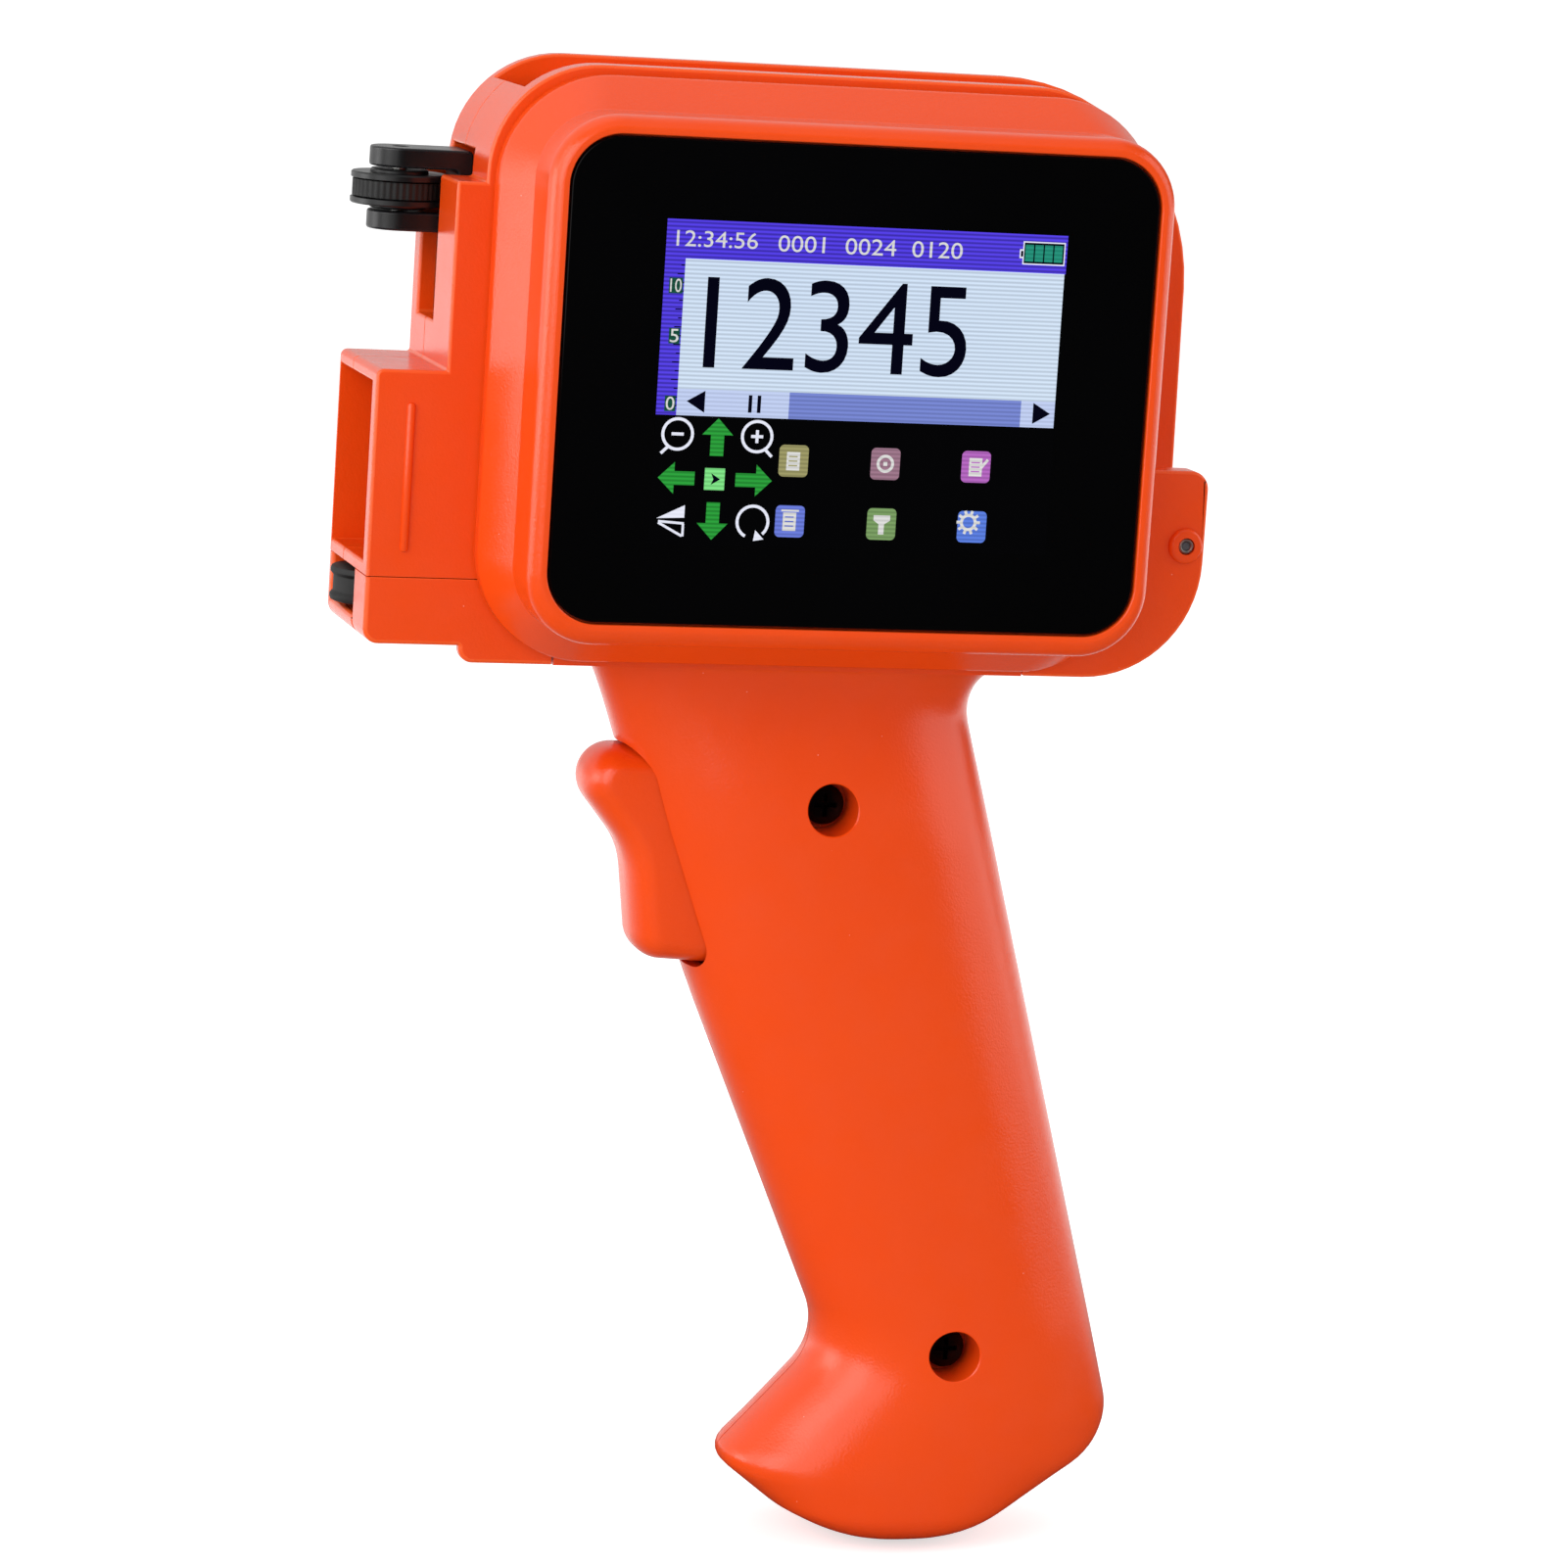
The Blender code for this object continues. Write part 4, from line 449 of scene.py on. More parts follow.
def turned(profile: Sequence[Flat], centre: Flat, along: Along, sides: int = 48,
           endless: bool = False) -> Shape:
    """Turn a profile of (radius, depth) round an axis; an endless one has a bore and no end caps."""
    return loft([along.ring(circle(*centre, radius, sides), depth) for radius, depth in profile], endless)


def bar(radius: float, centre: Flat, near: float, far: float, along: Along = Along.Y,
        sides: int = 48) -> Shape:
    """Make a plain round bar, for cutting and joining."""
    return turned([(radius, near), (radius, far)], centre, along, sides)


def mesh_of(name: str, shape: Shape) -> bpy.types.Mesh:
    """Turn a shape into mesh data.

    Args:
        name: Name of the data.
        shape: The shape, which is used up.

    Returns:
        The data.
    """
    mesh = bpy.data.meshes.new(name)
    shape.to_mesh(mesh)
    shape.free()
    return mesh


def show(name: str, data: bpy.types.ID) -> Thing:
    """Put data into the scene.

    Args:
        name: Name of the object.
        data: Its mesh, curve, light or camera.

    Returns:
        The object.
    """
    thing = bpy.data.objects.new(name, data)
    bpy.context.scene.collection.objects.link(thing)
    return thing


def merged(shapes: Iterable[Shape]) -> Shape:
    """Gather separate shapes into one.

    Args:
        shapes: Shapes, which are used up.

    Returns:
        One shape with all of them.
    """
    whole = bmesh.new()
    for shape in shapes:
        mesh = mesh_of("gathered", shape)
        whole.from_mesh(mesh)
        bpy.data.meshes.remove(mesh)
    return whole


def combined(base: Shape, operation: str, *others: Shape) -> Shape:
    """Join, cut or intersect shapes.

    Args:
        base: The shape to change, which is used up.
        operation: UNION, DIFFERENCE or INTERSECT.
        others: The other shapes, which are used up.

    Returns:
        The result.
    """
    host = show("base", mesh_of("base", base))
    guests = [show("tool", mesh_of("tool", other)) for other in others]
    for guest in guests:
        step = host.modifiers.new("step", "BOOLEAN")
        step.operation = operation
        step.object = guest
        step.solver = "EXACT"
    result = bmesh.new()
    result.from_object(host, bpy.context.evaluated_depsgraph_get())
    for thing in (host, *guests):
        mesh = thing.data
        bpy.data.objects.remove(thing, do_unlink=True)
        bpy.data.meshes.remove(mesh)
    bmesh.ops.remove_doubles(result, verts=result.verts, dist=WELD)
    bmesh.ops.dissolve_degenerate(result, edges=result.edges, dist=WELD)
    return result


def cut(base: Shape, *others: Shape) -> Shape:
    """Cut shapes out of a base."""
    return combined(base, "DIFFERENCE", *others)


def fused(base: Shape, *others: Shape) -> Shape:
    """Join shapes to a base."""
    return combined(base, "UNION", *others)


def flattened(shape: Shape) -> Shape:
    """Merge the facets of flat faces so that edges can be rounded cleanly."""
    bmesh.ops.dissolve_limit(shape, angle_limit=math.radians(0.3), verts=shape.verts, edges=shape.edges)
    return shape


@dataclass(frozen=True)
class Rounding:
    """How edges are rounded: a radius, planes whose edges stay nearly sharp, and bores that are spared."""

    radius: float
    crisp: tuple[tuple[Along, float], ...] = ()
    crisp_share: float = 0.2
    least_bend: float = SHARP
    spared: Sequence[Flat] = ()
    spared_reach: float = 3.4
    seam_reach: float = 0.1
    segments: int = 3

    def weigh(self, shape: Shape) -> None:
        """Mark how much each edge is rounded.

        Args:
            shape: The finished shape in design axes.
        """
        weight = shape.edges.layers.float.new("bevel_weight_edge")
        for edge in shape.edges:
            if not edge.is_manifold or edge.calc_face_angle() < self.least_bend:
                continue
            if any(all((knot.co.xz - Vector(spot)).length < self.spared_reach for knot in edge.verts)
                   for spot in self.spared):
                edge.smooth = False
                continue
            on_seam = any(all(abs(knot.co[plane.value] - level) < self.seam_reach for knot in edge.verts)
                          for plane, level in self.crisp)
            edge[weight] = self.crisp_share if on_seam else 1.0

    def apply(self, piece: Thing) -> None:
        """Add the rounding to a piece.

        Args:
            piece: The piece in the frame.
        """
        edges = piece.modifiers.new("rounded_edges", "BEVEL")
        edges.width = self.radius * MM
        edges.segments = self.segments
        edges.limit_method = "WEIGHT"
        edges.use_clamp_overlap = False
        edges.harden_normals = True
        # The rounded faces take the second material, the paler edge finish, which paints a highlight along
        # the edges besides wear
        if len(piece.data.materials) > 1:
            edges.material = 1


def place(name: str, shape: Shape, slot: Slot, nodes: Sequence[str] = (), body: Body = Body.PRINTER,
          rounding: Rounding | None = None, finish: Finish | None = None) -> None:
    """Turn a shape into a piece of the printer.

    Args:
        name: Name of the piece.
        shape: The shape in design axes, which is used up.
        slot: The record's material slot.
        nodes: Frame nodes that it stands for.
        body: The body that it moves with.
        rounding: How its edges are rounded, if they aren't modelled.
        finish: Its finish, if it isn't the usual one of its slot.
    """
    finish = finish or SLOT_FINISHES[slot]
    if rounding:
        rounding.weigh(shape)
    bmesh.ops.transform(shape, matrix=TO_FRAME, verts=shape.verts)
    mesh = mesh_of(name, shape)
    mesh.shade_smooth()
    mesh.materials.append(finish.material())
    piece = show(name, mesh)
    if rounding:
        # Rounded pieces get the paler edge finish as a second material, a painted highlight along the edges
        # as well as wear
        if finish in EDGE_WEAR_AND_HIGHLIGHT_FINISHES:
            mesh.materials.append(EDGE_WEAR_AND_HIGHLIGHT_FINISHES[finish].material())
        rounding.apply(piece)
    else:
        mesh.set_sharp_from_angle(angle=SHARP)
    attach(piece, body.value)
    if nodes:
        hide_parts(*nodes)
    LOG.info("%s on %s: %d faces, %s", name, body.value, len(mesh.polygons), finish.name)


@dataclass(frozen=True)
class Layout:
    """Sizes that several sub-assemblies share."""

    fit: float = 0.3
    close_fit: float = 0.12
    running_fit: float = 0.15
    past: float = 6.0
    bite: float = 0.6
    through: float = 60.0
    hairline: float = 0.11
    head_left: float = -49.3
    head_right: float = 47.2
    head_top: float = 41.6
    head_bottom: float = -42.4
    head_corner: float = 15.6
    head_front: float = 19.5
    plate_back: float = 24.0
    seam: float = 36.0
    bay_back: float = 43.0
    head_back: float = 45.8
    head_wall: float = 2.0
    nose_left: float = -63.3
    nose_seam: float = -30.5
    foot_right: float = -36.2
    saddle_left: float = -35.9
    saddle_right: float = 33.0
    saddle_top: float = -39.8
    grip_mid: float = 33.0
    hinge_x: float = 56.3
    hinge_z: float = -22.9
    hinge_pin: float = 1.1
    lever_x: float = -48.1
    lever_z: float = 8.0
    lever_pin: float = 0.9
    notch_top: float = 28.45
    slot_front: float = 31.0
    pocket_back: float = 44.0
    lever_left: float = -50.4
    lower_arm_low: float = 16.3
    small_edge: Rounding = Rounding(0.35)
    trigger_pin: Flat = (-13.0, -59.5)
    housing_screws: Sequence[Flat] = ((-33.0, 30.2), (38.5, 30.2), (-31.0, -30.9), (38.5, -30.9))


L = Layout()


@dataclass
class FrontHousing:
    """Raised frame round the screen on a sloped flange; outlines are left, right, bottom, top and corner."""

    glass: Sequence[float] = (-42.0, 42.0, -33.3, 33.3, 7.0)
    gap: float = 0.3
    ledge_front: float = 1.9
    ledge_back: float = 4.1
    rim_proud: float = 0.3
    rim_flat: float = 1.1
    rim_hold: float = 0.08
    rim_break: float = math.radians(22)
    lip_round: float = 0.25
    lip_steps: int = 4
    frame: Sequence[float] = (-44.8, 44.8, -36.7, 36.1, 9.8)
    frame_round: float = 2.9
    frame_base: float = 9.7
    flange: Sequence[float] = (-48.3, 47.1, -41.4, 40.4, 15.5)
    flange_front: float = 17.0
    flange_back: float = 19.2
    flange_break: float = 0.15
    wall: float = 2.2
    window: Sequence[float] = (-35.2, 35.2, -25.6, 25.6, 1.0)
    round_steps: int = 9
    hold: float = 0.2
    crease: float = 0.06
    edge_round: float = 0.32
    slots: Sequence[tuple[Place, Place]] = (
        ((40.0, 4.1, -14.8), (47.0, 7.5, -5.2)),
        ((40.0, 4.7, 5.7), (47.0, 8.7, 14.3)),
    )
    # Radius of a pillar, radius of its bore and depth where the bore ends
    boss: Place = (2.8, 1.3, 9.5)
    post: Place = (2.2, 1.1, 5.1)
    post_length: float = 3.1
    posts: Sequence[Flat] = ((-38.3, 20.0), (38.3, 20.0), (-38.3, -20.0), (38.3, -20.0))

    def ring(self, sizes: Sequence[float], inset: float, depth: float) -> Ring:
        """Draw an outline in by an inset, at a depth.

        Args:
            sizes: Left, right, bottom, top and corner radius.
            inset: How far it is drawn in, or grown where that is below zero.
            depth: Depth behind the face of the glass.

        Returns:
            The ring.
        """
        left, right, bottom, top, radius = sizes
        points = rectangle(left + inset, right - inset, bottom + inset, top - inset, radius - inset)
        return Along.Y.ring(points, depth)

    def between(self, first: Ring, second: Ring, share: float, depth: float) -> Ring:
        """A ring part of the way from one ring to another, at a depth of its own."""
        mixed = (a.lerp(b, share) for a, b in zip(first, second))
        return [Vector((point.x, depth, point.z)) for point in mixed]

    def rings(self) -> list[Ring]:
        """Follow the section from the glass pocket over the rim and flange and back inside.

        Returns:
            The rings in order.
        """
        face = -self.rim_proud
        rings = [self.ring(self.glass, -self.gap, self.ledge_front),
                 self.ring(self.glass, -self.gap, face + 2 * self.lip_round)]
        for back, out in round_over(self.lip_round, self.lip_steps):
            rings.append(self.ring(self.glass, -self.gap - out, face + back))
        rim = self.ring(self.glass, -self.rim_flat, face)
        wall = self.ring(self.frame, 0.0, self.frame_base)
        slope = self.ring(self.flange, 0.0, self.flange_front)
        rings.append(self.ring(self.glass, self.rim_hold - self.rim_flat, face))
        low, reach = math.sin(self.rim_break), math.cos(self.rim_break)
        for step in range(self.round_steps + 1):
            turn = self.rim_break + (math.radians(90) - self.rim_break) * step / self.round_steps
            depth = face + self.frame_round * (1 - math.cos(turn) / reach)
            rings.append(self.between(rim, wall, (math.sin(turn) - low) / (1 - low), depth))
        rise = self.flange_front - self.frame_base
        # Share of the way out from the frame to the flange's edge, and depth past the foot of the frame
        section = ((0.0, self.frame_round - self.frame_base + self.hold), (0.0, -self.crease - self.hold),
                   (0.0, -self.crease), (0.002, 0.0), (0.009, 0.009 * rise), (0.03, 0.03 * rise),
                   (0.92, 0.92 * rise), (0.945, 0.945 * rise), (0.975, rise - 0.18), (0.995, rise + 0.05),
                   (1.0, rise + self.edge_round), (1.0, rise + self.edge_round + self.hold))
        for share, past in section:
            rings.append(self.between(wall, slope, share, self.frame_base + past))
        half_wall = self.wall / 2
        inside = ((self.flange, 0.0, self.flange_back - self.flange_break),
                  (self.flange, self.flange_break, self.flange_back),
                  (self.flange, self.wall, self.flange_back),
                  (self.flange, self.wall, self.flange_front + half_wall),
                  (self.frame, self.wall, self.frame_base + half_wall),
                  (self.frame, self.wall, self.ledge_back),
                  (self.window, 0.0, self.ledge_back), (self.window, 0.0, self.ledge_front))
        return rings + [self.ring(*stage) for stage in inside]

    def pillars(self, spots: Sequence[Flat], sizes: Place, far: float) -> list[Shape]:
        """Make bored pillars on the back of the ledge.

        Args:
            spots: Where they stand.
            sizes: Their radius, the radius of their bore and the depth where the bore ends.
            far: Depth of their ends.

        Returns:
            The pillars.
        """
        radius, bore, floor = sizes
        root = self.ledge_back - L.bite
        return [cut(bar(radius, spot, root, far), bar(bore, spot, floor, L.through)) for spot in spots]

    def build(self) -> None:
        """Build the housing with its screw bosses and board posts."""
        shell = loft(self.rings(), endless=True)
        shell = cut(shell, *(cuboid(low, high) for low, high in self.slots))
        bosses = self.pillars(L.housing_screws, self.boss, self.flange_back)
        posts = self.pillars(self.posts, self.post, self.ledge_back + self.post_length)
        place("housing_shell", merged([shell, *bosses, *posts]), Slot.ORANGE, ["front_housing"])


@dataclass
class TouchGlass:
    """Cover glass with its rounded edge."""

    housing: FrontHousing
    thickness: float = 1.6
    edge: float = 0.35
    back_break: float = 0.1
    steps: int = 5

    def build(self) -> None:
        """Build the glass."""
        outline = self.housing.glass
        rings = [self.housing.ring(outline, *edge) for edge in round_over(self.edge, self.steps)]
        rings.append(self.housing.ring(outline, 0.0, self.thickness - self.back_break))
        rings.append(self.housing.ring(outline, self.back_break, self.thickness))
        place("screen_glass", loft(rings), Slot.GLASS, ["touch_glass"])


class Layer(Enum):
    """Distance of the display's drawn layers in front of the glass, in millimetres."""

    GROUND = 0.012
    PANEL = 0.024
    MARK = 0.036
    GLYPH = 0.048
    CELL = 0.060


@dataclass
class ScreenArt:
    """Picture on the display, drawn in percent of its width and height from the upper left."""

    size: Flat = (57.25, 44.6)
    shift: Flat = (0.25, 0.1)
    film: float = 0.006
    stroke: float = 0.42
    fine_stroke: float = 0.34
    arc_steps: int = 40
    groups: dict[str, list[Shape]] = field(default_factory=dict)

    COLOURS = {
        "ground": panel("off_black", "#050506", "#040405", 0.0),
        "bar": panel("violet", "#6450F4", "#523CEE", 0.55),
        "preview": panel("pale", "#DEEEFE", "#D2E4FC"),
        "row": panel("pale_violet", "#C4D0F6", "#C8D8F8", 0.2),
        "block": panel("slate_blue", "#8090DC", "#7888D6"),
        "ink": panel("ink", "#05051A", "#04040F", 0.0),
        "white": panel("white", "#F2F4FF", "#E4E8FA", 0.1),
        "arrow": panel("green", "#34B044", "#2A9A3A", 0.4),
        "play": panel("pale_green", "#8CF090", "#7CE486"),
        "cell": panel("teal", "#2C9E84", "#26907A"),
        "tag": panel("deep_green", "#1C5A44", "#1A4E3E"),
        "olive": panel("olive", "#A8A470", "#9C9864"),
        "mauve": panel("mauve", "#A88094", "#9C7488"),
        "pink": panel("pink", "#C070CC", "#B464C0"),
        "blue": panel("blue", "#7486E8", "#687ADC"),
        "leaf": panel("leaf_green", "#84A86C", "#789C60"),
        "gear": panel("gear_blue", "#6488EC", "#587CE0"),
        "glyph": panel("glyph", "#E6E6E2", "#DCDCDC", 0.2),
    }

    def spot(self, across: float, down: float) -> Flat:
        """Turn percent of the width and height, from the upper left, into a place on the glass."""
        wide, high = self.size
        return self.shift[0] + (across / 100 - 0.5) * wide, self.shift[1] + (0.5 - down / 100) * high

    def fill(self, colour: str, layer: Layer, points: Sequence[Flat]) -> None:
        """Add a filled outline given in millimetres on the glass."""
        shape = prism(points, -layer.value, self.film - layer.value)
        self.groups.setdefault(colour, []).append(shape)

    def area(self, colour: str, layer: Layer, *corners: Flat) -> None:
        """Add a filled outline given in percent."""
        self.fill(colour, layer, [self.spot(*corner) for corner in corners])

    def box(self, colour: str, layer: Layer, left: float, top: float, right: float, bottom: float,
            radius: float = 0.0) -> None:
        """Add a filled box given in percent.

        Args:
            colour: Name of the colour.
            layer: Layer that it lies in.
            left: Left edge.
            top: Upper edge.
            right: Right edge.
            bottom: Lower edge.
            radius: Corner radius in millimetres.
        """
        low_x, high_z = self.spot(left, top)
        high_x, low_z = self.spot(right, bottom)
        self.fill(colour, layer, rectangle(low_x, high_x, low_z, high_z, radius))

    def line(self, colour: str, layer: Layer, start: Flat, end: Flat, width: float | None = None) -> None:
        """Add a straight stroke between two places in percent.

        Args:
            colour: Name of the colour.
            layer: Layer that it lies in.
            start: First end.
            end: Second end.
            width: Width in millimetres, or None for the usual stroke.
        """
        first, second = Vector(self.spot(*start)), Vector(self.spot(*end))
        ahead = (second - first).normalized()
        side = Vector((-ahead.y, ahead.x)) * (width or self.stroke) / 2
        corners = (first - side, second - side, second + side, first + side)
        self.fill(colour, layer, [tuple(corner) for corner in corners])

    def arc(self, colour: str, layer: Layer, centre: Flat, radius: float, start: float, sweep: float) -> None:
        """Add a round stroke.

        Args:
            colour: Name of the colour.
            layer: Layer that it lies in.
            centre: Centre in percent.
            radius: Radius in millimetres at the middle of the stroke.
            start: First angle in degrees.
            sweep: Angle that it covers in degrees.
        """
        middle = Vector(self.spot(*centre))
        turns = [math.radians(start) + turn for turn in sweep_angles(sweep, self.arc_steps)]
        for first, second in zip(turns, turns[1:]):
            corners = []
            for reach, turn in ((-1, first), (1, first), (1, second), (-1, second)):
                length = radius + reach * self.stroke / 2
                corners.append((middle.x + length * math.cos(turn), middle.y + length * math.sin(turn)))
            self.fill(colour, layer, corners)

    def digits(self, colour: str, layer: Layer, words: str, left: float, top: float, right: float,
               bottom: float) -> None:
        """Add numerals that fill a box given in percent.

        Args:
            colour: Name of the colour.
            layer: Layer that they lie in.
            words: The numerals.
            left: Left edge.
            top: Upper edge.
            right: Right edge.
            bottom: Lower edge.
        """
        curve = bpy.data.curves.new("numerals", "FONT")
        curve.body = words
        curve.resolution_u = 6
        thing = show("numerals", curve)
        mesh = bpy.data.meshes.new_from_object(thing.evaluated_get(bpy.context.evaluated_depsgraph_get()))
        shape = bmesh.new()
        shape.from_mesh(mesh)
        bpy.data.meshes.remove(mesh)
        bpy.data.objects.remove(thing, do_unlink=True)
        bpy.data.curves.remove(curve)
        low = Vector((min(v.co.x for v in shape.verts), min(v.co.y for v in shape.verts)))
        high = Vector((max(v.co.x for v in shape.verts), max(v.co.y for v in shape.verts)))
        first, last = Vector(self.spot(left, bottom)), Vector(self.spot(right, top))
        for knot in shape.verts:
            across = first.x + (knot.co.x - low.x) / (high.x - low.x) * (last.x - first.x)
            up = first.y + (knot.co.y - low.y) / (high.y - low.y) * (last.y - first.y)
            knot.co = Along.Y.point(across, up, self.film - layer.value)
        bmesh.ops.remove_doubles(shape, verts=shape.verts, dist=WELD)
        caps = bmesh.ops.extrude_face_region(shape, geom=shape.faces[:])
        fronts = [item for item in caps["geom"] if isinstance(item, bmesh.types.BMVert)]
        bmesh.ops.translate(shape, verts=fronts, vec=Along.Y.point(0.0, 0.0, -self.film))
        bmesh.ops.recalc_face_normals(shape, faces=shape.faces)
        self.groups.setdefault(colour, []).append(shape)

    def status_bar(self) -> None:
        """Draw the top bar with its clock, counter and battery."""
        self.box("ground", Layer.GROUND, 0, 0, 100, 100)
        self.box("bar", Layer.PANEL, 0, 0, 100, 11.9)
        self.digits("glyph", Layer.MARK, "12:34:56", 2.5, 3.3, 22.5, 8.2)
        self.digits("glyph", Layer.MARK, "0001  0024  0120", 27.6, 3.6, 73.6, 8.6)
        self.box("white", Layer.MARK, 88.0, 4.7, 89.0, 7.5)
        self.box("ink", Layer.GLYPH, 88.3, 5.2, 88.9, 7.0)
        self.box("white", Layer.MARK, 88.8, 2.2, 99.5, 9.4)
        self.box("ink", Layer.GLYPH, 89.1, 2.6, 99.2, 9.0)
        for index in range(4):
            left = 89.4 + 2.44 * index
            self.box("cell", Layer.CELL, left, 3.2, left + 2.1, 8.4)

    def preview(self) -> None:
        """Draw the ruler, the sheet with its large numerals and the scroll row."""
        self.box("bar", Layer.PANEL, 0, 11.9, 5.0, 60.0)
        for index in range(17):
            down = 14.0 + 2.7 * index
            reach = 3.2 if index % 2 else 4.0
            self.line("ink", Layer.MARK, (reach, down), (5.0, down), 0.16)
        for words, top in (("10", 18.2), ("5", 33.6), ("0", 54.4)):
            left = 1.6 if len(words) > 1 else 2.3
            self.box("tag", Layer.MARK, left - 0.3, top - 0.3, 4.7, top + 4.5)
            self.digits("glyph", Layer.GLYPH, words, left, top, 4.4, top + 4.1)
        self.box("preview", Layer.PANEL, 5.0, 11.9, 99.7, 51.8)
        self.box("row", Layer.PANEL, 5.0, 51.8, 32.8, 60.0)
        self.box("block", Layer.PANEL, 32.8, 51.8, 91.1, 60.0)
        self.box("row", Layer.PANEL, 91.1, 51.8, 99.7, 60.0)
        self.digits("ink", Layer.MARK, "12345", 10.8, 16.9, 76.2, 45.4)
        self.area("ink", Layer.MARK, (7.4, 55.6), (11.9, 59.0), (11.9, 52.2))
        self.area("ink", Layer.MARK, (98.6, 55.6), (94.2, 52.3), (94.2, 58.9))
        for left in (22.7, 24.9):
            self.box("ink", Layer.MARK, left, 53.1, left + 0.9, 58.5)

    def arrows(self) -> None:
        """Draw the four arrows with the play box between them."""
        middle = Vector(self.spot(15.6, 79.4))
        for turn, reach in ((0, 8.1), (90, 8.4), (180, 8.1), (270, 8.4)):
            spin = Matrix.Rotation(math.radians(turn), 2)
            outline = ((reach, 0.0), (reach - 2.3, 2.2), (reach - 2.3, 0.95), (reach - 5.2, 0.95),
                       (reach - 5.2, -0.95), (reach - 2.3, -0.95), (reach - 2.3, -2.2))
            self.fill("arrow", Layer.PANEL, [tuple(middle + spin @ Vector(point)) for point in outline])
        self.box("play", Layer.PANEL, 13.0, 76.0, 18.0, 82.8)
        self.area("ink", Layer.MARK, (16.9, 79.4), (14.6, 77.6), (15.2, 79.4), (14.6, 81.2))

    def signs(self) -> None:
        """Draw the magnifiers, the mirror sign and the turn sign."""
        for centre, sign in ((5.7, -1), (25.4, 1)):
            self.arc("white", Layer.PANEL, (centre, 65.8), 2.1, 0, 360)
            self.line("white", Layer.PANEL, (centre + sign * 2.0, 69.5), (centre + sign * 3.9, 71.9))
            self.line("white", Layer.PANEL, (centre - 1.5, 65.8), (centre + 1.5, 65.8))
        for top in (63.8, 66.3):
            self.line("white", Layer.PANEL, (25.4, top), (25.4, top + 1.5))
        self.area("white", Layer.PANEL, (1.7, 92.0), (8.6, 91.6), (8.6, 87.7))
        outline = (((2.2, 92.9), (8.6, 93.4)), ((8.4, 93.6), (8.4, 97.4)), ((2.2, 93.3), (8.2, 97.3)))
        for start, end in outline:
            self.line("white", Layer.PANEL, start, end, self.fine_stroke)
        self.arc("white", Layer.PANEL, (25.6, 92.3), 2.2, -48, 292)
        self.area("white", Layer.PANEL, (26.4, 94.8), (28.6, 97.6), (26.0, 98.2))

    def buttons(self) -> None:
        """Draw the six rounded buttons with their signs."""
        colours = (("olive", "mauve", "pink"), ("blue", "leaf", "gear"))
        for colour_row, top in zip(colours, (68.0, 86.8)):
            for colour, left in zip(colour_row, (31.2, 54.2, 77.1)):
                self.box(colour, Layer.PANEL, left, top, left + 7.3, top + 9.9, 0.7)
                self.sign(colour, left, top)

    def sign(self, colour: str, left: float, top: float) -> None:
        """Draw the pale sign on one button.

        Args:
            colour: The button's colour, which says which sign it has.
            left: Left edge of the button in percent.
            top: Upper edge of the button in percent.
        """
        mid = left + 3.65
        if colour in ("olive", "pink", "blue"):
            self.box("glyph", Layer.MARK, left + 1.9, top + 2.2, left + 5.2, top + 7.9)
            for index in range(3):
                self.line(colour, Layer.GLYPH, (left + 2.4, top + 3.6 + 1.4 * index),
                          (left + 4.6, top + 3.6 + 1.4 * index), 0.18)
        if colour == "blue":
            self.box("glyph", Layer.MARK, left + 1.4, top + 1.3, left + 5.8, top + 1.9)
        if colour == "pink":
            self.line("glyph", Layer.MARK, (left + 4.4, top + 6.0), (left + 6.6, top + 2.6), 0.4)
        if colour == "mauve":
            self.arc("glyph", Layer.MARK, (mid, top + 4.9), 1.05, 0, 360)
            self.box("glyph", Layer.MARK, mid - 0.5, top + 4.3, mid + 0.5, top + 5.6)
        if colour == "leaf":
            funnel = ((-2.05, 2.2), (-2.05, 3.8), (-0.7, 5.0), (-0.7, 8.2), (0.7, 8.2), (0.7, 5.0),
                      (2.15, 3.8), (2.15, 2.2))
            self.area("glyph", Layer.MARK, *((mid + across, top + down) for across, down in funnel))
        if colour == "gear":
            middle = Vector(self.spot(left + 2.7, top + 3.6))
            for index in range(10):
                turn = math.tau * index / 10
                ahead = Vector((math.cos(turn), math.sin(turn)))
                side = Vector((-ahead.y, ahead.x)) * 0.2
                corners = (middle + ahead * 1.2 - side, middle + ahead * 1.7 - side,
                           middle + ahead * 1.7 + side, middle + ahead * 1.2 + side)
                self.fill("glyph", Layer.MARK, [tuple(corner) for corner in corners])
            self.arc("glyph", Layer.MARK, (left + 2.7, top + 3.6), 1.0, 0, 360)

    def build(self) -> None:
        """Draw the picture and make one piece for each colour."""
        self.status_bar()
        self.preview()
        self.arrows()
        self.signs()
        self.buttons()
        for colour, shapes in self.groups.items():
            place(f"screen_{colour}", merged(shapes), Slot.GLASS, finish=self.COLOURS[colour])


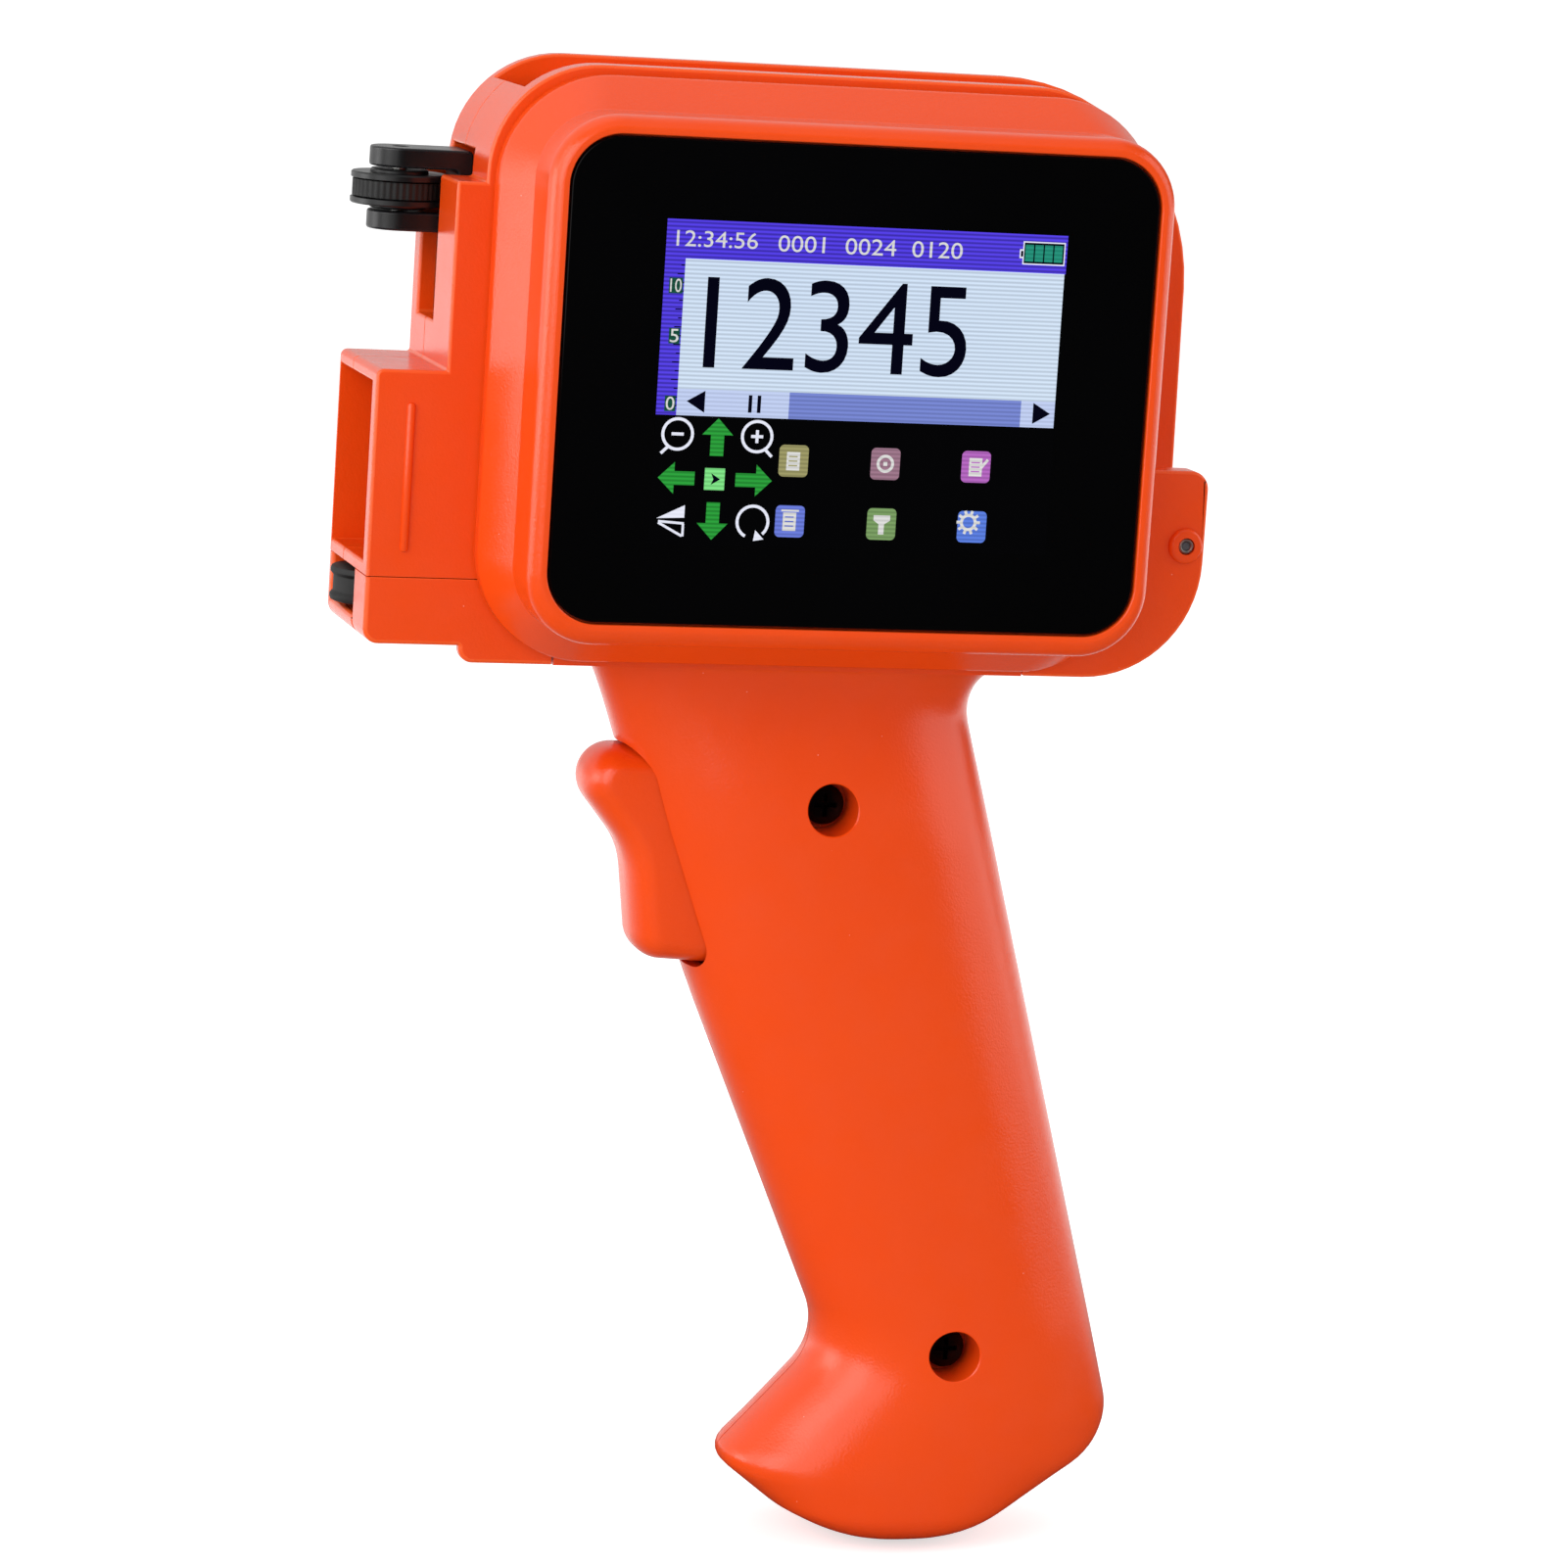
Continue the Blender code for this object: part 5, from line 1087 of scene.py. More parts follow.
@dataclass(frozen=True)
class CrossScrew:
    """A kind of pan-head screw with a cross recess, along Y; shares are of the head's radius or height."""

    name: str
    node: str
    # Depth of the top of the head, and 1 to point back or -1 to point to the front
    face: float
    aim: int
    head: float
    height: float
    shank: float
    length: float
    crown_share: float = 0.35
    crown_steps: int = 4
    tip_share: float = 0.3
    slot_reach: float = 0.62
    slot_half: float = 0.13
    slot_depth: float = 0.6
    slot_taper: float = 0.62
    slot_past: float = 0.5
    sides: int = 32

    def profile(self) -> list[Flat]:
        """Draw half of the screw's section, from the top of its head to its tip.

        Returns:
            Points as (radius, depth).
        """
        crown = self.height * self.crown_share
        seat = self.face + self.aim * self.height
        tip = seat + self.aim * self.length
        points = [(self.head - inset, self.face + self.aim * back)
                  for inset, back in round_over(crown, self.crown_steps)]
        return points + [(self.head, seat), (self.shank, seat), (self.shank, tip - self.aim * self.shank),
                         (self.shank * self.tip_share, tip)]

    def recess(self, across: float, up: float) -> list[Shape]:
        """Make the two tapered slots of the cross.

        Args:
            across: Where the screw's axis passes.
            up: Its height.

        Returns:
            Shapes to cut out.
        """
        reach, half = self.head * self.slot_reach, self.head * self.slot_half
        levels = ((self.face - self.aim * self.slot_past, 1.0),
                  (self.face + self.aim * self.height * self.slot_depth, self.slot_taper))
        slots = []
        for wide, high in ((reach, half), (half, reach)):
            rings = []
            for level, share in levels:
                points = rectangle(across - wide * share, across + wide * share, up - high * share,
                                   up + high * share, 0.0)
                rings.append(Along.Y.ring(points, level))
            slots.append(loft(rings))
        return slots

    def drive(self, spots: Mapping[Any, Flat]) -> None:
        """Place a screw at each spot.

        Args:
            spots: Where their axes pass, by the last part of their names.
        """
        for label, spot in spots.items():
            body = turned(self.profile(), spot, Along.Y, self.sides)
            place(f"{self.name}_{label}", cut(body, *self.recess(*spot)), Slot.DARK_STEEL,
                  [f"{self.node}_{label}"])


@dataclass
class HeadShells:
    """Front and back shells of the head, with the nose, the column and the hinge lug."""

    right_corner: float = 18.0
    back_right_top: float = 61.2
    back_right_low: float = 62.3
    back_corner: float = 30.0
    lug_right: float = 59.3
    lug_top: float = -12.1
    lug_corner: float = 2.7
    lug_sweep: float = 17.0
    nose_top: float = -1.6
    column_left: float = -53.4
    column_top: float = 24.7
    window_top: float = -3.7
    window_bottom: float = -28.8
    window_front_wall: float = 3.0
    window_back_wall: float = 0.8
    bay_step: float = -43.6
    slot_back: float = 42.0
    slot_bottom: float = 4.3
    notch_front: float = 29.5
    notch_depth: float = 1.9
    bead_x: float = -58.2
    bead_span: Flat = (-26.5, -6.6)
    bead_radius: float = 0.62
    bead_sunk: float = 0.05
    bead_end: Sequence[Flat] = ((0.15, 0.5), (0.75, 0.35), (1.0, 0.0))
    boss_radius: float = 2.55
    boss_proud: float = 0.8
    boss_round: float = 0.65
    boss_steps: int = 6
    edge_round: float = 0.45
    nose_edge: float = 1.0
    shell_screws: Sequence[Flat] = ((-42.5, 31.5), (-49.3, 0.8), (-22.0, -34.6), (40.0, -34.6))
    shell_boss: float = 3.6
    shell_bore: float = 1.8
    shell_bore_span: Flat = (30.0, 44.0)
    shell_seat: float = 3.1
    shell_seat_front: float = 43.2
    housing_bore: float = 1.3
    housing_seat: float = 2.5
    housing_seat_depth: float = 2.5
    lever_bore_span: Flat = (29.5, 45.2)
    shell_screw: CrossScrew = CrossScrew("shell_cross_screw", "shell_screw", face=45.4, aim=-1, head=2.8,
                                         height=1.9, shank=1.5, length=13.0)
    housing_screw: CrossScrew = CrossScrew("housing_cross_screw", "housing_screw", face=23.4, aim=-1,
                                           head=2.2, height=1.6, shank=1.0, length=12.0)

    def left_side(self) -> list[Corner]:
        """Corners from the saddle round the nose and the column to the head's upper left.

        Returns:
            The corners.
        """
        shell_bottom = L.saddle_top + L.hairline
        side_gap = L.saddle_right + L.hairline
        return [
            (side_gap, L.head_bottom, 0.0), (side_gap, shell_bottom, 0.0),
            (L.foot_right + L.hairline, shell_bottom, 0.0), (L.foot_right + L.hairline, L.nose_seam, 0.0),
            (L.nose_left, L.nose_seam, 0.0), (L.nose_left, self.nose_top, self.nose_edge),
            (self.column_left, self.nose_top, 0.0), (self.column_left, self.column_top, 0.0),
            (L.head_left, self.column_top, 0.0), (L.head_left, L.head_top, L.head_corner),
        ]

    def front_outline(self) -> list[Flat]:
        """Outline of the front shell, with the lug at the lower right."""
        return rounded(self.left_side() + [
            (L.head_right, L.head_top, self.right_corner),
            (L.head_right, self.lug_top, 0.0),
            (self.lug_right, self.lug_top, self.lug_corner),
            (self.lug_right, L.head_bottom, self.lug_sweep),
        ])

    def back_outline(self) -> list[Flat]:
        """Outline of the back shell, whose right edge leans outwards."""
        return rounded(self.left_side() + [
            (self.back_right_top, L.head_top, self.back_corner),
            (self.back_right_low, L.head_bottom, self.lug_sweep),
        ])

    def spaces(self) -> list[Shape]:
        """Make the spaces that both shells share: bay, print sleeve, column slot and bracket notch.

        Returns:
            Shapes to cut out.
        """
        far_right = self.back_right_low + L.past
        inner_left = L.head_left + L.head_wall
        floor_left = L.foot_right + L.fit + L.head_wall
        floor = L.saddle_top + L.fit + L.head_wall
        ceiling = L.head_top - L.head_wall
        bay = prism(rounded([
            (inner_left, self.window_bottom, 0.0), (floor_left, self.window_bottom, 0.0),
            (floor_left, floor, 0.0), (far_right, floor, 0.0), (far_right, ceiling, 0.0),
            (inner_left, ceiling, L.head_corner - L.head_wall),
        ]), L.plate_back, L.bay_back)
        mouth = cuboid((self.bay_step, L.plate_back, L.head_top - L.head_corner),
                       (far_right, L.bay_back, L.head_top + L.past))
        sleeve = cuboid((L.nose_left - L.past, L.head_front + self.window_front_wall, self.window_bottom),
                        (inner_left + L.head_wall, L.head_back - self.window_back_wall, self.window_top))
        slot = cuboid((self.column_left - L.past, L.slot_front, self.slot_bottom),
                      (L.lever_left, self.slot_back, self.column_top + L.past))
        wheel_room = cuboid((self.column_left - L.past, L.slot_front, L.lower_arm_low),
                            (L.lever_left, L.pocket_back, L.notch_top))
        pocket = cuboid((L.lever_left - L.fit, L.slot_front, self.slot_bottom),
                        (inner_left + L.head_wall, L.pocket_back, L.notch_top))
        notch = cuboid((L.head_left - L.past, self.notch_front, self.column_top),
                       (L.head_left + self.notch_depth, L.pocket_back, L.notch_top))
        return [bay, mouth, sleeve, slot, wheel_room, pocket, notch]

    def shell_bosses(self, near: float, far: float) -> list[Shape]:
        """Make the round bosses inside the bay between two depths."""
        return [bar(self.shell_boss, spot, near, far) for spot in self.shell_screws if spot[0] > L.head_left]

    def bores(self) -> list[Shape]:
        """Make the bores that both shells share: hinge pin, bracket pin and shell screws."""
        return [bar(L.hinge_pin + L.close_fit, (L.hinge_x, L.hinge_z), 0.0, L.through),
                bar(L.lever_pin + L.fit, (L.lever_x, L.lever_z), *self.lever_bore_span),
                *(bar(self.shell_bore, spot, *self.shell_bore_span, sides=24) for spot in self.shell_screws)]

    def front(self) -> None:
        """Build the front shell with its hinge boss."""
        seam = L.seam - L.hairline
        hinge = (L.hinge_x, L.hinge_z)
        shell = cut(prism(self.front_outline(), L.head_front, seam), *self.spaces())
        shell = fused(shell, *self.shell_bosses(L.plate_back - L.bite, seam))
        boss_face = L.head_front - self.boss_proud
        lip = [(self.boss_radius - inset, boss_face + back)
               for inset, back in round_over(self.boss_round, self.boss_steps)]
        shell = fused(shell, turned(lip + [(self.boss_radius, L.head_front + L.bite)], hinge, Along.Y))
        holes = self.bores()
        seat_front = L.plate_back - self.housing_seat_depth
        for spot in L.housing_screws:
            holes.append(bar(self.housing_bore, spot, 0.0, L.through, sides=24))
            holes.append(bar(self.housing_seat, spot, seat_front, L.through, sides=32))
        crisp = ((Along.Y, seam), (Along.Z, L.nose_seam), (Along.Y, boss_face), (Along.X, L.saddle_right),
                 (Along.Z, L.saddle_top))
        place("front_shell", flattened(cut(shell, *holes)), Slot.ORANGE, ["head_front_shell"],
              rounding=Rounding(self.edge_round, crisp, spared=[hinge]))

    def bead(self) -> None:
        """Build the bead on the front of the nose."""
        low, high = self.bead_span
        end = [(self.bead_radius * share, low - reach) for share, reach in self.bead_end]
        spot = (self.bead_x, L.head_front + self.bead_sunk)
        place("nose_bead", turned(mirrored(end, low, high), spot, Along.Z, 24), Slot.ORANGE)

    def back(self) -> None:
        """Build the back shell."""
        seam = L.seam + L.hairline
        shell = cut(prism(self.back_outline(), seam, L.head_back), *self.spaces())
        shell = fused(shell, *self.shell_bosses(seam, L.bay_back + L.bite))
        seats = [bar(self.shell_seat, spot, self.shell_seat_front, L.through) for spot in self.shell_screws]
        crisp = ((Along.Y, seam), (Along.Z, L.nose_seam), (Along.X, L.saddle_right), (Along.Z, L.saddle_top),
                 (Along.Y, L.head_back - self.window_back_wall))
        place("back_shell", flattened(cut(shell, *self.bores(), *seats)), Slot.ORANGE, ["head_back_shell"],
              rounding=Rounding(self.edge_round, crisp, spared=self.shell_screws))

    def build(self) -> None:
        """Build both shells, the bead and the screws that close the head and hold the housing."""
        self.front()
        self.bead()
        self.back()
        self.shell_screw.drive(dict(enumerate(self.shell_screws, 1)))
        self.housing_screw.drive(dict(enumerate(L.housing_screws, 1)))


@dataclass
class HingeAndDoor:
    """Tubular hinge pin, the arched cartridge door and the contact pads."""

    pin_bore: float = 0.65
    pin_span: Flat = (18.8, 45.6)
    lip_steps: int = 8
    core_slack: float = 0.08
    core_span: Flat = (19.05, 45.1)
    door_top: float = 38.6
    door_right: float = 49.5
    door_lip: float = -36.0
    door_corner: float = 18.0
    door_wall: float = 2.0
    lip_corner: float = 1.4
    web_corner: float = 1.0
    knuckle: float = 3.2
    door_span: Flat = (24.4, 42.6)
    ribs: int = 5
    rib_start: float = 3.0
    rib_pitch: float = 2.2
    rib_end: Sequence[Flat] = ((0.15, 2.0), (0.45, 2.4))
    block: Sequence[float] = (-45.0, -25.0, -28.0, -8.0, 1.2)
    block_span: Flat = (40.2, 42.7)
    block_edge: float = 0.4
    pad_rows: int = 6
    pad_columns: int = 4
    pad_start: Flat = (-42.2, -25.4)
    pad_pitch: Flat = (4.8, 2.95)
    pad_profile: Sequence[Flat] = ((0.3, 39.85), (0.75, 40.0), (0.9, 40.3))
    small_sides: int = 20

    def pin(self) -> None:
        """Build the tubular pin with rounded rims."""
        front, back = self.pin_span
        inner, lip = self.pin_bore, (L.hinge_pin - self.pin_bore) / 2
        rim = [(inner + out, front + back) for back, out in round_over(lip, self.lip_steps, 180)]
        spot = (L.hinge_x, L.hinge_z)
        tube = turned(mirrored(rim, front, back), spot, Along.Y, endless=True)
        place("hinge_tube", tube, Slot.STEEL, ["hinge_pin"])
        near, far = self.core_span
        core = bar(inner - self.core_slack, spot, near, far, sides=24)
        place("hinge_tube_core", core, Slot.DARK_STEEL, finish=PHOSPHATED_STEEL)

    def door(self) -> None:
        """Build the door with its finger ribs."""
        inner_top = self.door_top - self.door_wall
        inner_right = self.door_right - self.door_wall
        web_top, web_bottom = L.hinge_z + self.door_wall, L.hinge_z - self.door_wall
        outline = rounded([
            (self.door_lip, inner_top, 0.0), (self.door_lip, self.door_top, self.lip_corner),
            (self.door_right, self.door_top, self.door_corner), (self.door_right, web_top, self.web_corner),
            (L.hinge_x, web_top, 0.0), (L.hinge_x, web_bottom, 0.0),
            (inner_right, web_bottom, self.web_corner),
            (inner_right, inner_top, self.door_corner - self.door_wall),
        ])
        front, back = self.door_span
        spot = (L.hinge_x, L.hinge_z)
        cover = fused(prism(outline, front, back), bar(self.knuckle, spot, front, back))
        cover = flattened(cut(cover, bar(L.hinge_pin + L.fit, spot, 0.0, L.through)))
        place("door_cover", cover, Slot.ORANGE, ["cartridge_door"], Body.DOOR, L.small_edge)
        end = [(radius, front + inset) for radius, inset in self.rib_end]
        starts = [self.door_lip + self.rib_start + self.rib_pitch * index for index in range(self.ribs)]
        ribs = [turned(mirrored(end, front, back), (left, self.door_top), Along.Y, self.small_sides)
                for left in starts]
        place("door_finger_ribs", merged(ribs), Slot.ORANGE, body=Body.DOOR)

    def contacts(self) -> None:
        """Build the contact block with its sprung pads."""
        block = flattened(prism(rectangle(*self.block), *self.block_span))
        place("contact_carrier", block, Slot.BLACK, ["contact_block"],
              rounding=Rounding(self.block_edge))
        pads = []
        for column in range(self.pad_columns):
            for row in range(self.pad_rows):
                across = self.pad_start[0] + self.pad_pitch[0] * column
                up = self.pad_start[1] + self.pad_pitch[1] * row
                pads.append(turned(self.pad_profile, (across, up), Along.Y, self.small_sides))
        place("contact_pads", merged(pads), Slot.STEEL, finish=GOLD_FLASH)

    def build(self) -> None:
        """Build the pin, the door and the contacts."""
        self.pin()
        self.door()
        self.contacts()


@dataclass
class NoseFoot:
    """Foot under the nose, in two pieces, with the guide roller."""

    bottom: float = -40.0
    corner: float = 2.2
    step_x: float = -49.6
    step_corner: float = 0.2
    arch_corner: float = 2.1
    split: float = 28.0
    wall: float = 2.0
    roller_spot: Flat = (-58.2, 37.0)
    roller_radius: float = 6.5
    roller_span: Flat = (-36.5, -31.5)
    roller_end: Sequence[Flat] = ((0.5, 0.0), (0.15, 0.15), (0.0, 0.5), (0.0, 0.9), (0.45, 1.4))
    roller_room: float = 0.7
    roller_sides: int = 72
    slot_back: float = 43.9
    pin_radius: float = 1.2
    pin_seat: float = 1.0
    edge_round: float = 0.6
    lip_back: float = 21.7

    def build(self) -> None:
        """Build both pieces and the roller."""
        top = L.nose_seam - L.hairline
        right = L.foot_right
        outline = rounded([
            (L.nose_left, top, 0.0), (L.nose_left, self.bottom, self.corner),
            (self.step_x, self.bottom, self.step_corner), (self.step_x, L.head_bottom, self.arch_corner),
            (right, L.head_bottom, 0.0), (right, top, 0.0),
        ])
        low = self.roller_span[0]
        floor = self.bottom + self.wall
        crisp = ((Along.Z, top), (Along.X, right), (Along.Y, self.split))
        spans = {"front": (L.head_front, self.split - L.hairline),
                 "back": (self.split + L.hairline, L.head_back)}
        for side, span in spans.items():
            hollow = cuboid((L.nose_left + self.wall, L.head_front + self.wall, floor),
                            (right - self.wall, L.head_back - self.wall, top + L.past))
            lip = cuboid((self.step_x - L.past, self.lip_back, L.head_bottom - L.past),
                         (right - self.wall, L.head_back + L.past, self.bottom))
            half = prism(outline, *span)
            if side == "front":
                half = cut(half, hollow, lip)
            else:
                slot = cuboid((L.nose_left - L.past, self.split - L.past, low - self.roller_room),
                              (L.nose_left + self.wall + L.fit, self.slot_back, top + L.past))
                stub = bar(2 * self.pin_radius, self.roller_spot, floor - L.bite, low - L.fit, Along.Z)
                bore = bar(self.pin_radius + L.fit, self.roller_spot, floor - self.pin_seat, top + L.past,
                           Along.Z)
                half = cut(fused(cut(half, hollow, lip, slot), stub), bore)
            place(f"foot_{side}", flattened(half), Slot.ORANGE, [f"nose_foot_{side}"],
                  rounding=Rounding(self.edge_round, crisp))
        self.roller()

    def roller(self) -> None:
        """Build the guide roller with rounded rims and a shallow waist."""
        low, high = self.roller_span
        end = [(self.pin_radius + L.running_fit, low)]
        end += [(self.roller_radius - inset, low + rise) for inset, rise in self.roller_end]
        tyre = turned(mirrored(end, low, high), self.roller_spot, Along.Z, self.roller_sides, endless=True)
        place("guide_roller_tyre", tyre, Slot.RUBBER, ["nose_roller"], Body.ROLLER)


@dataclass
class Encoder:
    """Measuring wheel with a toothed tyre, on its swinging bracket."""

    spot: Flat = (-57.9, 37.5)
    level: float = 22.0
    radius: float = 6.75
    half_width: float = 2.25
    flange: float = 0.95
    core: float = 4.6
    hub: float = 4.1
    hub_half: float = 2.75
    axle: float = 1.0
    tyre: float = 6.5
    tooth: float = 0.09
    teeth: int = 44
    tooth_path: Sequence[Flat] = ((0.0, 0.0), (0.34, 0.0), (0.5, 1.0), (0.84, 1.0))
    arm_radius: float = 4.3
    upper_arm: Flat = (25.1, 27.9)
    lower_arm: Flat = (L.lower_arm_low, 19.0)
    lever_thickness: float = 2.1
    barrel: float = 2.2
    lip: float = 0.2
    heel_corner: float = 0.8
    arm_corner: float = 0.6
    bend_steps: int = 36
    sides: int = 72

    def wheel(self) -> None:
        """Build the spool and its tyre."""
        lip, half, groove = self.lip, self.half_width, self.half_width - self.flange
        upper = [(self.axle + L.close_fit, self.hub_half), (self.hub - lip, self.hub_half),
                 (self.hub, self.hub_half - lip), (self.hub, half), (self.radius - lip, half),
                 (self.radius, half - lip), (self.radius, groove + lip / 2), (self.radius - lip, groove),
                 (self.core, groove)]
        section = mirrored([(radius, self.level + rise) for radius, rise in upper], self.level, self.level)
        spool = turned(section, self.spot, Along.Z, self.sides, endless=True)
        place("wheel_spool", spool, Slot.BLACK, ["encoder_wheel"], Body.WHEEL)
        points = []
        for index in range(self.teeth):
            for share, depth in self.tooth_path:
                turn = math.tau * (index + share) / self.teeth
                reach = self.tyre - self.tooth * depth
                points.append((self.spot[0] + reach * math.cos(turn), self.spot[1] + reach * math.sin(turn)))
        half_tyre = groove - L.running_fit
        band = prism(points, self.level - half_tyre, self.level + half_tyre, Along.Z)
        seat = bar(self.core + L.running_fit, self.spot, self.level - L.past, self.level + L.past, Along.Z,
                   self.sides)
        place("toothed_tyre", cut(band, seat), Slot.RUBBER, ["encoder_tyre"], Body.WHEEL)

    def bracket(self) -> None:
        """Build the fork with its lever and barrel, and the wheel's axle."""
        lever_right = L.lever_left + self.lever_thickness
        across, through = self.spot
        arm_end = across - self.arm_radius
        low, high = self.lower_arm[0], self.upper_arm[1]
        side = rounded([
            (lever_right, L.lever_z, 0.0), (lever_right, high, self.heel_corner), (arm_end, high, 0.0),
            (arm_end, self.upper_arm[0], 0.0), (L.lever_left, self.upper_arm[0], self.arm_corner),
            (L.lever_left, self.lower_arm[1], self.arm_corner), (arm_end, self.lower_arm[1], 0.0),
            (arm_end, low, 0.0), (L.lever_left, low, self.arm_corner), (L.lever_left, L.lever_z, 0.0),
        ])
        bend = [(across - self.arm_radius * math.sin(turn), through + self.arm_radius * math.cos(turn))
                for turn in sweep_angles(180, self.bend_steps)]
        far = lever_right + L.past
        plan = bend + [(far, through - self.arm_radius), (far, through + self.arm_radius)]
        fork = combined(prism(side, through - L.past, through + L.past), "INTERSECT",
                        prism(plan, L.lever_z - L.past, high + L.past, Along.Z))
        reach = self.arm_radius - L.fit
        pivot = (L.lever_x, L.lever_z)
        fork = fused(fork, bar(self.barrel, pivot, through - reach, through + reach))
        fork = cut(fork, bar(self.axle + L.close_fit, self.spot, low - L.past, high + L.past, Along.Z),
                   bar(L.lever_pin + L.running_fit, pivot, 0.0, L.through))
        place("bracket_fork", flattened(fork), Slot.BLACK, ["encoder_bracket"], Body.ARM, L.small_edge)
        ends = (low + L.fit, high - L.fit)
        end = [(self.axle - self.lip, ends[0]), (self.axle, ends[0] + self.lip)]
        axle = turned(mirrored(end, *ends), self.spot, Along.Z, 32)
        place("wheel_axle", axle, Slot.STEEL, ["encoder_axle"], Body.ARM)

    def build(self) -> None:
        """Build the wheel and the bracket."""
        self.wheel()
        self.bracket()


@dataclass
class Grip:
    """Both halves of the pistol grip, with the saddle, the trigger slot and the screw bores."""

    half_depth: float = 15.5
    neck_half_depth: float = 12.5
    neck_length: float = 26.0
    butt_round: float = 6.0
    roundness: float = 2.2
    butt_roundness: float = 2.6
    butt_span: Flat = (-156.0, -170.0)
    wall: float = 2.5
    flare_height: float = 8.8
    flare_left: float = 0.9
    flare_right: float = 9.5
    flare_front: float = 0.9
    sides: int = 96
    outline_corners: Sequence[Corner] = (
        (-27.3, -42.4, 0.0), (-10.9, -88.0, 150.0), (14.1, -143.9, 9.5), (-1.8, -161.0, 2.3),
        (7.2, -167.9, 14.0), (27.0, -177.6, 33.0), (59.4, -157.8, 9.0), (26.9, -42.4, 0.0),
    )
    screws: Mapping[str, Flat] = field(
        default_factory=lambda: {"upper": (6.0, -62.2), "lower": (29.9, -142.7)})
    screw: CrossScrew = CrossScrew("grip_cross_screw", "grip_screw", face=22.6, aim=1, head=3.0, height=2.4,
                                   shank=1.5, length=15.0)
    bore_radius: float = 3.75
    bore_floor: float = 25.3
    bore_rim: float = 0.2
    bore_sides: int = 64
    rim_sunk: float = 0.03
    screw_hole: float = 1.8
    screw_hole_end: float = 40.6
    front_boss: float = 5.4
    back_boss: float = 4.2
    slot_corners: Sequence[Corner] = (
        (25.0, -87.35, 4.0), (41.0, -87.35, 4.0), (40.4, -55.0, 5.1), (25.6, -55.0, 5.1),
    )
    slot_reach: Flat = (-36.6, -5.5)
    parting: float = 34.2
    pin_walls: Mapping[str, Flat] = field(
        default_factory=lambda: {"front": (23.0, 25.6), "back": (40.4, 43.0)})
    pin_boss: float = 2.0
    pin_bore: float = 1.3
    pin_bore_span: Flat = (22.6, 43.4)
    room: Flat = (-80.0, 90.0)
    skin_step: float = 1.1
    hollow_step: float = 4.0
    tip_left: float = 0.05
    ease: float = 0.55
    neck_steps: int = 8

    def __post_init__(self) -> None:
        """Draw the side outline once."""
        self.outline = rounded(self.outline_corners, math.radians(2))
        self.lowest = min(up for _, up in self.outline)

    def edges(self, height: float) -> Flat:
        """Left and right edge at a height, flared under the saddle.

        Args:
            height: The height.

        Returns:
            Both edges.
        """
        crossings = []
        for first, second in zip(self.outline, self.outline[1:]):
            if (first[1] - height) * (second[1] - height) <= 0.0 and first[1] != second[1]:
                share = (height - first[1]) / (second[1] - first[1])
                crossings.append(first[0] + share * (second[0] - first[0]))
        flare = self.flare(height)
        left, right = min(crossings), max(crossings)
        flared = min(right + self.flare_right * flare, L.saddle_right)
        return left - self.flare_left * flare, max(right, flared)

    def flare(self, height: float) -> float:
        """Share by which the neck has spread to the saddle at a height."""
        below = min(1.0, (L.head_bottom - height) / self.flare_height)
        return 1 - math.sqrt(1 - (1 - below) ** 2)

    def power(self, height: float) -> float:
        """Exponent of the section at a height: oval in the hand, squarer towards the butt."""
        share = (height - self.butt_span[0]) / (self.butt_span[1] - self.butt_span[0])
        return self.roundness + (self.butt_roundness - self.roundness) * min(1.0, max(0.0, share))

    def skin(self, across: float, height: float) -> float:
        """Depth of the front skin at a place seen from the front.

        Args:
            across: The place to the right.
            height: The place upwards.

        Returns:
            The depth.
        """
        left, right = self.edges(height)
        share = abs(2 * across - left - right) / (right - left)
        power = self.power(height)
        return L.grip_mid - self.depth(height) * (1 - share ** power) ** (1 / power)

    def depth(self, height: float) -> float:
        """Half the thickness at a height: slimmer at the neck, rounded in at the butt.

        Args:
            height: The height.

        Returns:
            The half thickness.
        """
        neck = min(1.0, (L.head_bottom - height) / self.neck_length)
        swell = neck * neck * (3 - 2 * neck)
        deep = self.neck_half_depth + (self.half_depth - self.neck_half_depth) * swell
        deep += self.flare_front * self.flare(height)
        rise = min(1.0, (height - self.lowest) / self.butt_round)
        return deep * (1 - (1 - rise) ** self.roundness) ** (1 / self.roundness)

    def ring(self, height: float, inset: float, level: float) -> Ring:
        """A superellipse section taken at a height and drawn at a level.

        Args:
            height: Where the section is taken.
            inset: How far it is drawn in.
            level: Where it is drawn.

        Returns:
            The ring.
        """
        left, right = self.edges(height)
        wide, deep = (right - left) / 2 - inset, self.depth(height) - inset
        power = 2 / self.power(height)
        ring = []
        for index in range(self.sides):
            turn = math.tau * index / self.sides
            across = math.copysign(abs(math.cos(turn)) ** power, math.cos(turn))
            through = math.copysign(abs(math.sin(turn)) ** power, math.sin(turn))
            ring.append(Vector(((left + right) / 2 + wide * across, L.grip_mid + deep * through, level)))
        return ring

    def levels(self, lowest: float, gap: float) -> list[float]:
        """Heights of the sections, closer together towards the butt.

        Args:
            lowest: Last height.
            gap: Largest distance between heights.

        Returns:
            Heights from the neck down.
        """
        span = L.head_bottom - lowest
        count = math.ceil(span / gap)
        heights = []
        for index in range(count + 1):
            share = index / count
            eased = math.sin(share * math.pi / 2) * self.ease + share * (1 - self.ease)
            heights.append(L.head_bottom - span * eased)
        neck = [L.head_bottom - self.flare_height * (step / self.neck_steps) ** 2
                for step in range(1, self.neck_steps)]
        return sorted(set(heights + neck), reverse=True)

